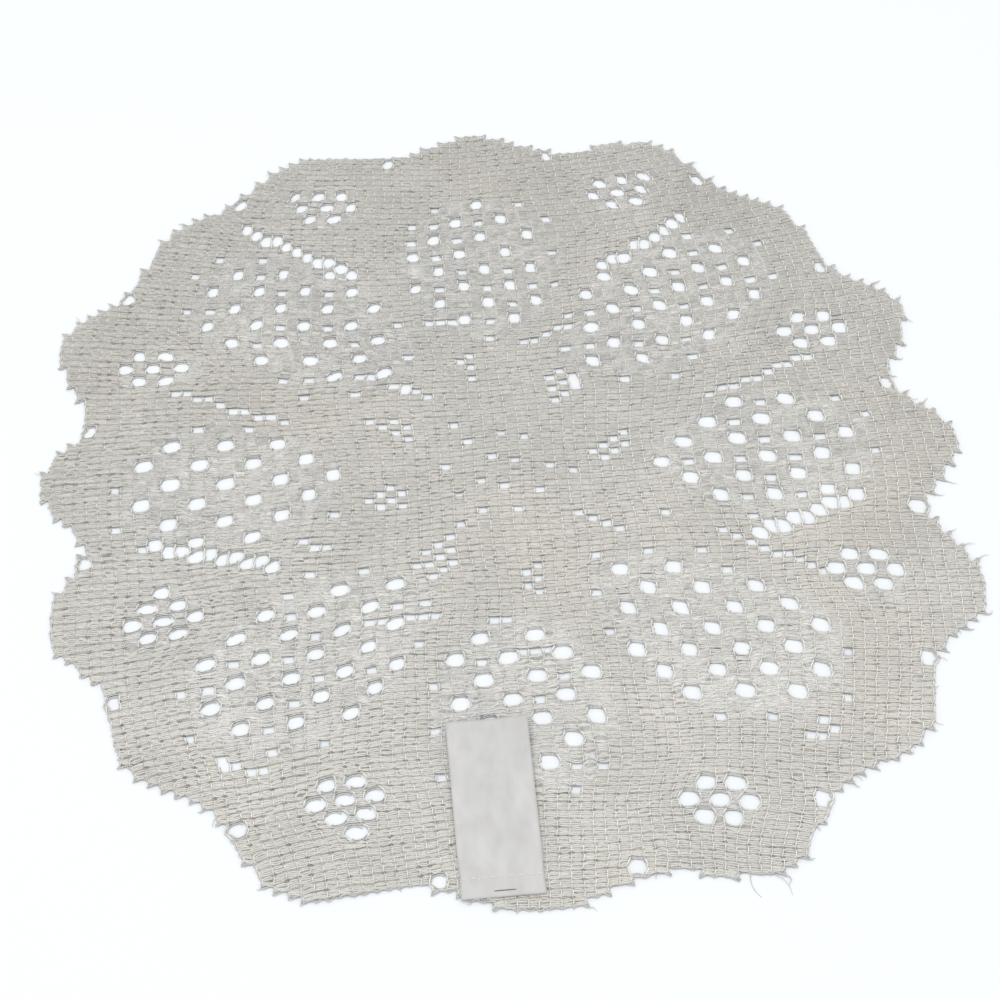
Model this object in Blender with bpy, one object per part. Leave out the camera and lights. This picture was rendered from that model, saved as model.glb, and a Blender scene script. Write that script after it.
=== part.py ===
"""Lace doily: a flat, sixteen-lobed mat of knitted filet net, with a bare satin label sewn on it.

The net is a chart of cells: each lies between two upright chains of stitches, the wales, and between two
rows. Eight petals, eight rim leaves and the cells that edge them stand open over two rows, and these
openings are cut through. X runs along the rows, Y along the wales and Z up, in metres, and the origin is
on the surface that the doily lies on, under the middle of its bounding box.
"""
import math
from collections import namedtuple

import bmesh
import bpy
import numpy as np
from mathutils.geometry import delaunay_2d_cdt

MM = 0.001

# The net. GAPS and ROWS are the cells of the chart on each side of its middle.
ROW = 2.5 * MM
GAP = 4.1 * MM
WALE = 0.9 * MM
GAPS = 42
ROWS = 65
THICKNESS = 1.0 * MM

# How the net gives: wider gaps in the petals and the leaves, wales that bulge like the staves of a barrel,
# rows that fan out to the sides, slow waves, and wales and rows that bend away from each opening.
PETAL_SPREAD = 0.2
LEAF_SPREAD = 0.36
PETAL_EASE = 5
LEAF_EASE = 3
HELD_GAPS = 36
BARREL = 8.0
FAN = 6.0
ROW_GROWTH = 2.2
WAVE = 0.5 * MM
WAVE_LENGTH = 64 * MM
WAVE_SLANT = 0.6
BOW = 0.9 * MM
BOW_AT_ENDS = 0.25 * MM
BOW_VARIES = 0.4
BOW_MORE_BELOW = 3.0
LIFT = 0.35 * MM
OPENING_INSET = 0.3 * MM

# The outline, as a radius from the middle of the pattern: longer along the wales and on the diagonals, in
# sixteen lobes, and uneven. Starts are in degrees.
LOBES = 16
EDGE_RADIUS = 156.0 * MM
Wave = namedtuple("Wave", "times height start")
EDGE_WAVES = (
    Wave(1, 2.0 * MM, 140),
    Wave(2, 5.5 * MM, -105),
    Wave(4, 4.0 * MM, -100),
    Wave(8, 2.0 * MM, -80),
    Wave(12, 2.0 * MM, 90),
    Wave(15, 1.5 * MM, 10),
    Wave(LOBES, 4.5 * MM, 100),
    Wave(17, 1.5 * MM, 25),
    Wave(18, 1.5 * MM, 100),
)
EDGE_EASE = 0.4
EDGE_LOOP_DEPTH = 1.5 * MM

# The petals. A tilt is from the way out. Turns and tilts are in degrees.
Petal = namedtuple("Petal", "turn centre half_length half_width tilt")
PETALS = (
    Petal(0, 91 * MM, 34 * MM, 25.5 * MM, 0),
    Petal(48, 93 * MM, 41 * MM, 26.5 * MM, -6),
    Petal(90, 91 * MM, 34 * MM, 25.5 * MM, 0),
    Petal(132, 93 * MM, 41 * MM, 26.5 * MM, 6),
    Petal(180, 91 * MM, 34 * MM, 25.5 * MM, 0),
    Petal(228, 93 * MM, 41 * MM, 26.5 * MM, -6),
    Petal(270, 91 * MM, 34 * MM, 25.5 * MM, 0),
    Petal(312, 93 * MM, 41 * MM, 26.5 * MM, 6),
)
PETAL_FLARE = 0.16
LATTICE_REACH = 0.93
LATTICE_GAPS = 2
LATTICE_ROWS = 6

# The bold edgings: an opening in every gap, from a start near the stems, to the right (1) or the left (-1),
# each so many rows higher than the one before.
Edging = namedtuple("Edging", "x y way gaps rise")
BOLD_EDGINGS = (
    Edging(83 * MM, -33 * MM, 1, 9, 0.6),
    Edging(-76 * MM, -34 * MM, -1, 10, 0.55),
    Edging(-43 * MM, 91 * MM, -1, 11, 0.8),
    Edging(43 * MM, 88 * MM, 1, 9, 0.85),
)

# The rim leaves.
Leaf = namedtuple("Leaf", "turn centre half_length half_width tilt")
RIM_LEAVES = (
    Leaf(25, 126 * MM, 12.5 * MM, 9.0 * MM, -30),
    Leaf(67, 137 * MM, 11.5 * MM, 9.0 * MM, -20),
    Leaf(113, 137 * MM, 11.5 * MM, 9.0 * MM, 20),
    Leaf(155, 126 * MM, 12.5 * MM, 9.0 * MM, 15),
    Leaf(205, 123 * MM, 13.0 * MM, 9.5 * MM, 22),
    Leaf(246.5, 134 * MM, 11.0 * MM, 8.0 * MM, 20),
    Leaf(293, 141 * MM, 9.5 * MM, 8.5 * MM, -20),
    Leaf(336, 126 * MM, 12.0 * MM, 8.5 * MM, -30),
)
LEAF_GAPS = 1
LEAF_ROWS = 4

# The label: a short satin tape, sewn along its outer end, whose free end lifts a little.
LABEL_WIDTH = 25.2 * MM
LABEL_LENGTH = 59.5 * MM
LABEL_THICKNESS = 1.0 * MM
LABEL_CENTRE = (-10.9 * MM, -127.0 * MM)
LABEL_TURN = 0.8
LABEL_GAP = 0.3 * MM
LABEL_LIFT = 1.6 * MM
LABEL_STEPS = 12

# What the triangulation is asked for, and how near points are taken as one.
OMIT_HOLES = 2
MERGE_WITHIN = 1e-7

LACE_COLOUR = (0.60, 0.58, 0.53, 1.0)
LACE_ROUGHNESS = 0.85
LABEL_COLOUR = (0.72, 0.71, 0.68, 1.0)
LABEL_ROUGHNESS = 0.45


def clear_scene():
    for obj in list(bpy.data.objects):
        bpy.data.objects.remove(obj)


def material(name, colour, roughness):
    made = bpy.data.materials.new(name)
    made.use_nodes = True
    shader = made.node_tree.nodes["Principled BSDF"]
    shader.inputs["Base Color"].default_value = colour
    shader.inputs["Roughness"].default_value = roughness
    shader.inputs["Metallic"].default_value = 0.0
    return made


def leaf_level(x, y, leaf, flare=0.0):
    """0 in the middle of a petal or a leaf and 1 on its rim. A flare makes its outer end the wider one."""
    angle = math.radians(leaf.turn)
    out = x * math.cos(angle) + y * math.sin(angle) - leaf.centre
    side = y * math.cos(angle) - x * math.sin(angle)
    lean = math.radians(leaf.tilt)
    along = (out * math.cos(lean) + side * math.sin(lean)) / leaf.half_length
    across = (side * math.cos(lean) - out * math.sin(lean)) / leaf.half_width
    return np.hypot(along, across / (1 + flare * along))


def lattice(level, gaps_apart, rows_apart):
    """A half-drop lattice of openings, counted from the middle of its leaf."""
    gap, row = np.indices(level.shape)
    middle_gap, middle_row = np.unravel_index(np.argmin(level), level.shape)
    column = (gap - middle_gap) // gaps_apart
    drop = rows_apart // 2 * (column % 2)
    return ((gap - middle_gap) % gaps_apart == 0) & ((row - middle_row + drop) % rows_apart == 0)


def pulled(x, y):
    """Where a point of the even net comes to lie."""
    return x * (1 - BARREL * y**2), y * (1 + FAN * x**2 + ROW_GROWTH * y**2)


def nearest_cell(x, y, place_x, place_y):
    return np.unravel_index(np.argmin(np.hypot(x - place_x, y - place_y)), x.shape)


def chart():
    """Which cells are the lower half of an opening two rows tall, and which lie in a petal or a rim leaf."""
    gap, row = np.meshgrid(np.arange(-GAPS, GAPS), np.arange(-ROWS, ROWS), indexing="ij")
    x, y = pulled((gap + 0.5) * GAP, (row + 0.5) * ROW)
    tall = np.zeros(x.shape, bool)
    in_petal = np.zeros(x.shape, bool)
    in_leaf = np.zeros(x.shape, bool)
    for petal in PETALS:
        level = leaf_level(x, y, petal, PETAL_FLARE)
        in_petal |= level < 1
        tall |= lattice(level, LATTICE_GAPS, LATTICE_ROWS) & (level < LATTICE_REACH)
    for leaf in RIM_LEAVES:
        level = leaf_level(x, y, leaf)
        in_leaf |= level < 1
        tall |= lattice(level, LEAF_GAPS, LEAF_ROWS) & (level < 1)
    for edging in BOLD_EDGINGS:
        first_gap, first_row = nearest_cell(x, y, edging.x, edging.y)
        for step in range(edging.gaps):
            tall[first_gap + edging.way * step, first_row + round(edging.rise * step)] = True
    return tall, in_petal, in_leaf


def eased(mask, rows):
    """A cell mask averaged down its gaps, so that the wales bend gently."""
    weights = np.hanning(2 * rows + 3)
    weights /= weights.sum()
    return np.apply_along_axis(lambda gap: np.convolve(gap, weights, "same"), 1, mask.astype(float))


def slow_wave(across, along, start):
    return WAVE * np.sin(2 * math.pi * (along + WAVE_SLANT * across) / WAVE_LENGTH + start)


def net_points(in_petal, in_leaf):
    """Where each wale crosses each row line, before the openings bend them."""
    width = GAP * (1 + PETAL_SPREAD * eased(in_petal, PETAL_EASE) + LEAF_SPREAD * eased(in_leaf, LEAF_EASE))
    wales = np.vstack([np.zeros(2 * ROWS), np.cumsum(width, axis=0)])
    wales -= wales[GAPS]
    held = HELD_GAPS * GAP
    wales *= np.where(wales > 0, held / wales[GAPS + HELD_GAPS], -held / wales[GAPS - HELD_GAPS])
    ends = np.hstack([wales[:, :1], wales, wales[:, -1:]])
    x = (ends[:, 1:] + ends[:, :-1]) / 2
    y = np.tile(np.arange(-ROWS, ROWS + 1) * ROW, (2 * GAPS + 1, 1))
    pulled_x, pulled_y = pulled(x, y)
    return pulled_x + slow_wave(x, y, 0.0), pulled_y + slow_wave(-y, x, 1.0)


def outline_radius(turn):
    waves = sum(wave.height * np.sin(wave.times * turn + math.radians(wave.start)) for wave in EDGE_WAVES)
    return EDGE_RADIUS + waves


def count_round(cells):
    """How many of the four cells beside each cell are set."""
    padded = np.pad(cells.astype(int), 1)
    return padded[2:, 1:-1] + padded[:-2, 1:-1] + padded[1:-1, 2:] + padded[1:-1, :-2]


def cells_inside(x, y):
    """The cells of the doily, without lone teeth or nicks in its stepped edge."""
    middle_x = (x[1:, 1:] + x[:-1, :-1]) / 2
    middle_y = (y[1:, 1:] + y[:-1, :-1]) / 2
    inside = np.hypot(middle_x, middle_y) < outline_radius(np.arctan2(middle_y, middle_x))
    inside &= count_round(inside) > 1
    inside |= count_round(inside) > 2
    return inside, middle_x, middle_y


def ease_edge(inside, x, y):
    """Draw the stepped edge part of the way to the smooth outline."""
    filled = np.pad(inside.astype(int), 1)
    beside = filled[1:, 1:] + filled[1:, :-1] + filled[:-1, 1:] + filled[:-1, :-1]
    edge = (beside > 0) & (beside < 4)
    radius = np.hypot(x[edge], y[edge])
    pull = 1 + EDGE_EASE * (outline_radius(np.arctan2(y[edge], x[edge])) / radius - 1)
    x[edge] *= pull
    y[edge] *= pull


def apart(tall):
    """Drop each opening that would run into the one below it."""
    for row in range(1, tall.shape[1]):
        tall[:, row] &= ~tall[:, row - 1]


def add_edge_loops(tall, inside, middle_x, middle_y):
    """An opening at the edge in each notch between two lobes, which leaves a thin loop round it."""
    free = ~tall & ~np.roll(tall, 1, 1) & ~np.roll(tall, -1, 1)
    pair = inside & np.roll(inside, -1, 1) & free
    for lobe in range(LOBES):
        turn = (lobe + 0.5) * 2 * math.pi / LOBES
        radius = outline_radius(turn) - EDGE_LOOP_DEPTH
        distance = np.hypot(middle_x - radius * math.cos(turn), middle_y - radius * math.sin(turn))
        nearest = np.argmin(np.where(pair, distance, EDGE_RADIUS))
        tall[np.unravel_index(nearest, tall.shape)] = True


def bend_round(tall, x, y):
    """Bow the wales and lift the rows away from every opening, and mark the points at its waist."""
    waist = np.zeros(x.shape, bool)
    gap, row = np.nonzero(tall)
    bow = BOW * (1 + BOW_VARIES * np.sin(1.7 * gap + 0.9 * row) - BOW_MORE_BELOW * y[gap, row])
    for side, outward in ((0, -1), (1, 1)):
        waist[gap + side, row + 1] = True
        np.add.at(x, (gap + side, row + 1), outward * bow)
        np.add.at(x, (gap + side, row), outward * BOW_AT_ENDS)
        np.add.at(x, (gap + side, row + 2), outward * BOW_AT_ENDS)
        np.add.at(y, (gap + side, row), -LIFT)
        np.add.at(y, (gap + side, row + 2), LIFT)
    return waist


def opening_corners(x, y, gap, row):
    """The six corners of an opening, half a wale in from the wales and a thread in from the rows."""
    rows = (row, row + 1, row + 2)
    inset = (OPENING_INSET, 0.0, -OPENING_INSET)
    left = [(x[gap, at] + WALE / 2, y[gap, at] + step) for at, step in zip(rows, inset)]
    right = [(x[gap + 1, at] - WALE / 2, y[gap + 1, at] + step) for at, step in zip(rows, inset)]
    return left[::-1] + right


def edge_corners(inside, waist, x, y):
    """The corners of the stepped edge in order, half a wale outside the outermost wales and rows."""
    filled = np.pad(inside.astype(int), 1)
    left = filled[:-1, 1:] + filled[:-1, :-1]
    right = filled[1:, 1:] + filled[1:, :-1]
    below = filled[1:, :-1] + filled[:-1, :-1]
    above = filled[1:, 1:] + filled[:-1, 1:]
    out_x = np.sign(left - right)
    out_y = np.sign(below - above)
    following = {}
    for gap, row in zip(*np.nonzero(inside)):
        corners = ((gap, row), (gap + 1, row), (gap + 1, row + 1), (gap, row + 1))
        beside = ((gap, row - 1), (gap + 1, row), (gap, row + 1), (gap - 1, row))
        for start, end, other in zip(corners, corners[1:] + corners[:1], beside):
            if not inside[other]:
                following[start] = end
    corner = min(following)
    loop = []
    for _ in range(len(following)):
        if waist[corner] or (out_x[corner] and out_y[corner]):
            loop.append((x[corner] + out_x[corner] * WALE / 2, y[corner] + out_y[corner] * WALE / 2))
        corner = following[corner]
    if corner != min(following):
        raise ValueError("the edge of the lace isn't one closed loop")
    return loop


def sheet_between(name, loops):
    """A flat sheet of triangles between the outline and the openings in it."""
    points = [point for loop in loops for point in loop]
    numbers = iter(range(len(points)))
    rings = [[next(numbers) for _ in loop] for loop in loops]
    filled = delaunay_2d_cdt(points, [], rings, OMIT_HOLES, MERGE_WITHIN)
    corners, triangles = filled[0], filled[2]
    mesh = bpy.data.meshes.new(name)
    mesh.from_pydata([(corner.x, corner.y, 0.0) for corner in corners], [], triangles)
    return mesh


def label_strip(name):
    """The tape as a strip of faces that curves up towards its free end."""
    strip = bmesh.new()
    bmesh.ops.create_grid(strip, x_segments=1, y_segments=LABEL_STEPS, size=0.5)
    for vert in strip.verts:
        along = vert.co.y + 0.5
        vert.co = (vert.co.x * LABEL_WIDTH, vert.co.y * LABEL_LENGTH, LABEL_LIFT * along**3)
    mesh = bpy.data.meshes.new(name)
    strip.to_mesh(mesh)
    strip.free()
    return mesh


def add_sheet(mesh, thickness, colour, roughness):
    """An object that gives the mesh its thickness, upwards from its faces."""
    sheet = bpy.data.objects.new(mesh.name, mesh)
    bpy.context.scene.collection.objects.link(sheet)
    mesh.materials.append(material(mesh.name, colour, roughness))
    thicken = sheet.modifiers.new("thickness", "SOLIDIFY")
    thicken.thickness = thickness
    thicken.offset = 1.0
    return sheet


def main():
    clear_scene()
    tall, in_petal, in_leaf = chart()
    x, y = net_points(in_petal, in_leaf)
    inside, middle_x, middle_y = cells_inside(x, y)
    tall &= inside & np.roll(inside, -1, 1)
    apart(tall)
    add_edge_loops(tall, inside, middle_x, middle_y)
    ease_edge(inside, x, y)
    waist = bend_round(tall, x, y)
    outline = np.array(edge_corners(inside, waist, x, y))
    middle = (outline.min(axis=0) + outline.max(axis=0)) / 2
    openings = [opening_corners(x, y, gap, row) for gap, row in zip(*np.nonzero(tall))]
    loops = [(np.array(loop) - middle).tolist() for loop in [outline, *openings]]
    add_sheet(sheet_between("lace", loops), THICKNESS, LACE_COLOUR, LACE_ROUGHNESS)

    label = add_sheet(label_strip("label"), LABEL_THICKNESS, LABEL_COLOUR, LABEL_ROUGHNESS)
    label.location = (LABEL_CENTRE[0] - middle[0], LABEL_CENTRE[1] - middle[1], THICKNESS + LABEL_GAP)
    label.rotation_euler.z = math.radians(LABEL_TURN)


main()
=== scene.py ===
"""Lace doily, dressed: the knitted yarn of its filet net, its edge, its satin label and a plain studio.

The net is the one that the frame's solids follow. Its numbers and functions are repeated here, so that every
thread lies on the wale or the row that it belongs to. X runs along the rows, Y along the wales and Z up, in
metres.
"""

import functools
import math
from collections import namedtuple

import bpy
import numpy as np
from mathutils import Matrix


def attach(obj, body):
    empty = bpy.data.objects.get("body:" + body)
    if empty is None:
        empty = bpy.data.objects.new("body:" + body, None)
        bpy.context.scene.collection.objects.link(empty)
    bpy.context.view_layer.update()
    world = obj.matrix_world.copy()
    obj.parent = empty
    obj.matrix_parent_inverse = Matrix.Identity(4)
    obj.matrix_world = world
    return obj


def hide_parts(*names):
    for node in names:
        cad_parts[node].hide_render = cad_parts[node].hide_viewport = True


bl_info = {
    "name": "Lace doily",
    "version": (1, 0, 0),
    "blender": (4, 5, 0),
    "location": "View3D > Sidebar > Doily",
    "description": "Yarn, edge, label and studio for a round filet-lace doily",
    "category": "Object",
}

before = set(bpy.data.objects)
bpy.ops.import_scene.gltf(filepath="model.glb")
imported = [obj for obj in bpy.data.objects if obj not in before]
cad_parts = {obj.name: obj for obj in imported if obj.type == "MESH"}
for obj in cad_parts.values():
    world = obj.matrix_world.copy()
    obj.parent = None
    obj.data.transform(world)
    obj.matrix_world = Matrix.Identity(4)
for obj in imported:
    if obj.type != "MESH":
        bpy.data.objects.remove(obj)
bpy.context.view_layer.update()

MM = 0.001

# The net, as in the solids.
ROW = 2.5 * MM
GAP = 4.1 * MM
WALE = 0.9 * MM
GAPS = 42
ROWS = 65

# How the net gives: wider gaps in the petals and the leaves, wales that bulge like the staves of a barrel,
# rows that fan out to the sides, slow waves, and wales and rows that bend away from each opening. The bow of
# the wales changes from opening to opening, by so many radians a gap and a row.
PETAL_SPREAD = 0.2
LEAF_SPREAD = 0.36
PETAL_EASE = 5
LEAF_EASE = 3
HELD_GAPS = 36
BARREL = 8.0
FAN = 6.0
ROW_GROWTH = 2.2
WAVE = 0.5 * MM
WAVE_LENGTH = 64 * MM
WAVE_SLANT = 0.6
WAVE_STARTS = (0.0, 1.0)
BOW = 0.9 * MM
BOW_AT_ENDS = 0.25 * MM
BOW_VARIES = 0.4
BOW_CHANGES = (1.7, 0.9)
BOW_MORE_BELOW = 3.0
LIFT = 0.35 * MM

# The outline, as a radius from the middle of the pattern: longer along the wales and on the diagonals, in
# sixteen lobes, and uneven. Starts are in degrees.
LOBES = 16
EDGE_RADIUS = 156.0 * MM
Wave = namedtuple("Wave", "times height start")
EDGE_WAVES = (
    Wave(1, 2.0 * MM, 140),
    Wave(2, 5.5 * MM, -105),
    Wave(4, 4.0 * MM, -100),
    Wave(8, 2.0 * MM, -80),
    Wave(12, 2.0 * MM, 90),
    Wave(15, 1.5 * MM, 10),
    Wave(LOBES, 4.5 * MM, 100),
    Wave(17, 1.5 * MM, 25),
    Wave(18, 1.5 * MM, 100),
)
EDGE_EASE = 0.4
EDGE_LOOP_DEPTH = 1.5 * MM

# The petals. A tilt is from the way out. Turns and tilts are in degrees.
Petal = namedtuple("Petal", "turn centre half_length half_width tilt")
PETALS = (
    Petal(0, 91 * MM, 34 * MM, 25.5 * MM, 0),
    Petal(48, 93 * MM, 41 * MM, 26.5 * MM, -6),
    Petal(90, 91 * MM, 34 * MM, 25.5 * MM, 0),
    Petal(132, 93 * MM, 41 * MM, 26.5 * MM, 6),
    Petal(180, 91 * MM, 34 * MM, 25.5 * MM, 0),
    Petal(228, 93 * MM, 41 * MM, 26.5 * MM, -6),
    Petal(270, 91 * MM, 34 * MM, 25.5 * MM, 0),
    Petal(312, 93 * MM, 41 * MM, 26.5 * MM, 6),
)
PETAL_FLARE = 0.16
LATTICE_REACH = 0.93
LATTICE_GAPS = 2
LATTICE_ROWS = 6

# The bold edgings: an opening in every gap, from a start near the stems, to the right (1) or the left (-1),
# each so many rows higher than the one before.
Edging = namedtuple("Edging", "x y way gaps rise")
BOLD_EDGINGS = (
    Edging(83 * MM, -33 * MM, 1, 9, 0.6),
    Edging(-76 * MM, -34 * MM, -1, 10, 0.55),
    Edging(-43 * MM, 91 * MM, -1, 11, 0.8),
    Edging(43 * MM, 88 * MM, 1, 9, 0.85),
)

# The rim leaves.
Leaf = namedtuple("Leaf", "turn centre half_length half_width tilt")
RIM_LEAVES = (
    Leaf(25, 126 * MM, 12.5 * MM, 9.0 * MM, -30),
    Leaf(67, 137 * MM, 11.5 * MM, 9.0 * MM, -20),
    Leaf(113, 137 * MM, 11.5 * MM, 9.0 * MM, 20),
    Leaf(155, 126 * MM, 12.5 * MM, 9.0 * MM, 15),
    Leaf(205, 123 * MM, 13.0 * MM, 9.5 * MM, 22),
    Leaf(246.5, 134 * MM, 11.0 * MM, 8.0 * MM, 20),
    Leaf(293, 141 * MM, 9.5 * MM, 8.5 * MM, -20),
    Leaf(336, 126 * MM, 12.0 * MM, 8.5 * MM, -30),
)
LEAF_GAPS = 1
LEAF_ROWS = 4

# The small openings, one row tall, which are too small for the solids: at the petals' rims, between some of
# their tall openings, along slanting lines like the bold edgings, in the inner leaves and round the middle.
# The plain petals, given by their turns, have none between their tall openings.
FINE_LEVEL = 1.12
SPECK_SHARE = 0.45
SPECK_ROWS = 3
PLAIN_PETALS = (180, 312)
SLANTS = (
    Edging(75 * MM, 26 * MM, 1, 10, 0.6),
    Edging(-70 * MM, 28 * MM, -1, 10, 0.6),
    Edging(70 * MM, -29 * MM, 1, 9, -0.9),
    Edging(-60 * MM, -27 * MM, -1, 3, 0.5),
    Edging(-8 * MM, 68 * MM, -1, 3, 0.0),
    Edging(12 * MM, 56 * MM, 1, 5, 0.5),
    Edging(-24 * MM, -56 * MM, -1, 6, 0.0),
    Edging(-44 * MM, 44 * MM, 1, 6, -0.8),
    Edging(12 * MM, -71 * MM, -1, 5, 0.0),
    Edging(84 * MM, -108 * MM, 1, 3, 0.4),
    Edging(-88 * MM, -106 * MM, 1, 4, -0.3),
)
INNER_LEAVES = (
    Leaf(12, 43 * MM, 9 * MM, 5.0 * MM, 10),
    Leaf(53, 43 * MM, 9 * MM, 6.5 * MM, 0),
    Leaf(98, 48 * MM, 7 * MM, 4.0 * MM, 0),
    Leaf(150, 42 * MM, 9 * MM, 4.0 * MM, 5),
    Leaf(192, 41 * MM, 10 * MM, 5.0 * MM, 0),
    Leaf(236, 41 * MM, 11 * MM, 6.0 * MM, 8),
    Leaf(281, 46 * MM, 9 * MM, 4.0 * MM, 0),
    Leaf(325, 40 * MM, 11 * MM, 4.0 * MM, 0),
)
Ring = namedtuple("Ring", "cells radius turn")
CENTRE_RINGS = (Ring(4, 7 * MM, 30), Ring(9, 17 * MM, 8), Ring(3, 26 * MM, 0), Ring(5, 60 * MM, 50))

# What all the yarn shares. Heights are above the table. Crossings are a little out of place, and the doily
# lies in slow swells. The net shows more openly on its left side, by a share that changes across it.
MIDDLE_HEIGHT = 0.5 * MM
THREAD_SIDES = 3
NEVER_ZERO = 1e-9
NET_SEED = 5
CROSSING_WANDER = 0.13 * MM
ACROSS_WANDER = 0.05 * MM
LIE_HEIGHT = 0.12 * MM
LIE_LENGTH = 47 * MM
LIE_START = 0.6
OPENNESS_CHANGES = 0.6

# The fill: four threads to a row in two bunches, with places up the row from 0 to 1. In each cell a bunch is
# shifted, slanted, tightened and toned on its own, more so in patches and in the petals. A thread crowns up
# in the cells. At the wales it dips and is pinched towards the middle of its bunch, and on the left side also
# towards the middle of the row. The middle threads' paler tone is a painted highlight on the crown, and the
# darker tone at the wales is painted shade in the dips. The cloth is paler towards its near side, as painted
# light for how the light falls across it.
Thread = namedtuple("Thread", "place bunch tone")
FILL_THREADS = (Thread(0.155, 0, 0.5), Thread(0.375, 0, 0.62), Thread(0.625, 1, 0.62), Thread(0.845, 1, 0.48))
BUNCH_MIDDLES = (0.25, 0.75)
BUNCH_SHIFT = 0.07
BUNCH_SLANT = 0.11
BUNCH_TIGHTER = 0.08
BUNCH_TONE = 0.13
UNEVENNESS = (0.3, 1.3)
PATCH_LENGTHS = (29 * MM, 41 * MM)
PATCH_SLANTS = (0.4, -0.5)
PATCH_STARTS = (0.0, 1.0)
FILL_BANDS = 3
FILL_ACROSS = (0.3, 0.7)
FILL_CROWN = 0.12 * MM
FILL_DIP = 0.03 * MM
FILL_PINCH = 0.75
FILL_FLAT = 0.58
FILL_TUCK = 0.3 * MM
FILL_ENDS_WANDER = 0.2 * MM
FILL_RISE_WANDER = 0.03 * MM
FILL_WIDTHS = (0.92, 1.06)
FILL_NARROWER_AT_WALE = 0.74
FILL_SHADE_AT_WALE = 0.4
FILL_TONE_VARIES = 0.06
PAINTED_LIGHT_TOWARDS = math.radians(-92)
PAINTED_LIGHT_NEAR = 0.95
PAINTED_LIGHT_FAR = 0.3
PETALS_LOOSER = 2.2
PETALS_MOTTLED = 1.5
PETAL_CELL_TONE = 0.16
ROW_LINES_OPEN = 0.03
GATHERED_AT_WALES = 0.45

# In the petals and leaves, the cells just above and below a tall opening have thinner and paler threads. Some
# of them hold the threads closer together.
LADDER_FADE = (0.6, 0.25)
LADDER_LOOSENESS = (0.8, 1.0)
LADDER_PALER = 0.25

# The tall openings: how they lean on either side, how the upper ones are drawn in, and the rim threads that
# round their corners at the foot and the head, and reach further in above and at the left corners.
OPENING_LEANS = 0.35 * MM
LEANS_FULLY_AT = 40 * MM
UPPER_NARROWER = 0.22 * MM
Rim = namedtuple("Rim", "inset height rounds")
RIMS = (Rim(0.08 * MM, 0.5 * MM, 0.18 * MM), Rim(0.36 * MM, 0.3 * MM, 0.4 * MM))
RIM_PLACES = (0.0, 0.22, 0.5, 0.78, 1.0)
RIM_SQUARENESS = 4
RIM_TONES = (0.5, 0.9)
RIM_MORE_ABOVE = 9.0
RIM_MORE_AT_LEFT_CORNERS = 260.0
RIM_MOST = 2.1

# The wales: one strand over the fill with a bead to each row, and one under it with fewer points. They are
# slanted within each row, stouter beside an opening, and paler and higher towards the lower right. The paler
# tone is painted light, for how the light falls on the slanted stitches there.
WALE_STEPS = 4
UNDER_SKIPS = 2
WALE_OVER = 0.5 * MM
WALE_UNDER = 0.25 * MM
WALE_STANDS = 0.2 * MM
WALE_WANDER = 0.05 * MM
WALE_RISE_WANDER = 0.04 * MM
WALE_SLANT = 0.26 * MM
WALE_BEADS = 0.21 * MM
WALE_BEAD_WIDTHS = (0.7, 1.35)
WALE_WIDTHS = (0.85, 1.15)
WALE_TONES = (0.3, 1.0)
WALE_TONE_VARIES = 0.15
WALE_PALER_TOWARDS = math.radians(-40)
WALE_PALENESS_CHANGES = 0.6
SHEER_WALES = 0.35
STOUTER_AT_OPENINGS = 0.8

# The web inside the cells, coloured as painted shade that shows between and under the threads: darker at
# the row lines, with painted dark spots of shadow that are more frequent at the wales, on the left side and
# in the petals. Their shares are for the right side and the left one. Some cells near an opening are slit at
# the row lines.
WEB_PLACES = (0.0, 0.22, 0.78, 1.0)
WEB_SHADE_TONES = (0.6, 0.9, 0.9, 0.6)
WEB_SHADOWS_AT_WALES = (0.25, 0.33)
WEB_SHADOWS_IN_CELLS = (0.02, 0.1)
MORE_SHADOWS_IN_PETALS = 1.6
SLIT_SHARE = 0.12
WHOLE_CELL = (0, 3)
MIDDLE_OF_CELL = (1, 2)

# The edge: how far its yarn stands out from the outermost net where one, two or three cells meet, and the
# hollow between. Each strand lies a small share further in than the one before.
EDGE_OUT = {1: 0.95 * MM, 2: 0.4 * MM, 3: 0.1 * MM}
EDGE_HOLLOW = 0.25 * MM
EDGE_SIDES = 4
EDGE_STEPS = 2
EDGE_STRANDS = 3
EDGE_STRANDS_APART = 0.0022
EDGE_WANDER = 0.2 * MM
EDGE_RISE_WANDER = 0.06 * MM
EDGE_WIDTHS = (0.75, 1.15)
EDGE_TONE = 0.35
EDGE_SHEER = 0.3

# The tufts at the edge's corners, longest and most frequent at the lower right. Each tapers from its root,
# which lies inside the edge.
TUFT_CHANCE = 0.35
TUFT_CHANCE_THORNY = 0.35
TUFT_CHANCE_ELSEWHERE = 0.25
TUFT_SHORTER_ELSEWHERE = 0.6
TUFT_STEPS = 5
TUFT_ROOT = -0.35
TUFT_TAPER = ((TUFT_ROOT, 0.2, 1), (1.0, 0.8, 0.16))
TUFT_WIDTHS = (0.45, 0.85)
TUFT_TONES = (0.2, 0.6)
TUFT_SHORTEST = 0.5 * MM
TUFT_LONGER = 1.1 * MM
TUFT_THORNS = 2.6 * MM
TUFT_SIDEWAYS = (0.1, 0.8)
TUFT_TURNS = 0.3
TUFT_BENDS = 0.5
TUFT_DROOPS = 0.3
THORNY_TURN = math.radians(-25)

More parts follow.
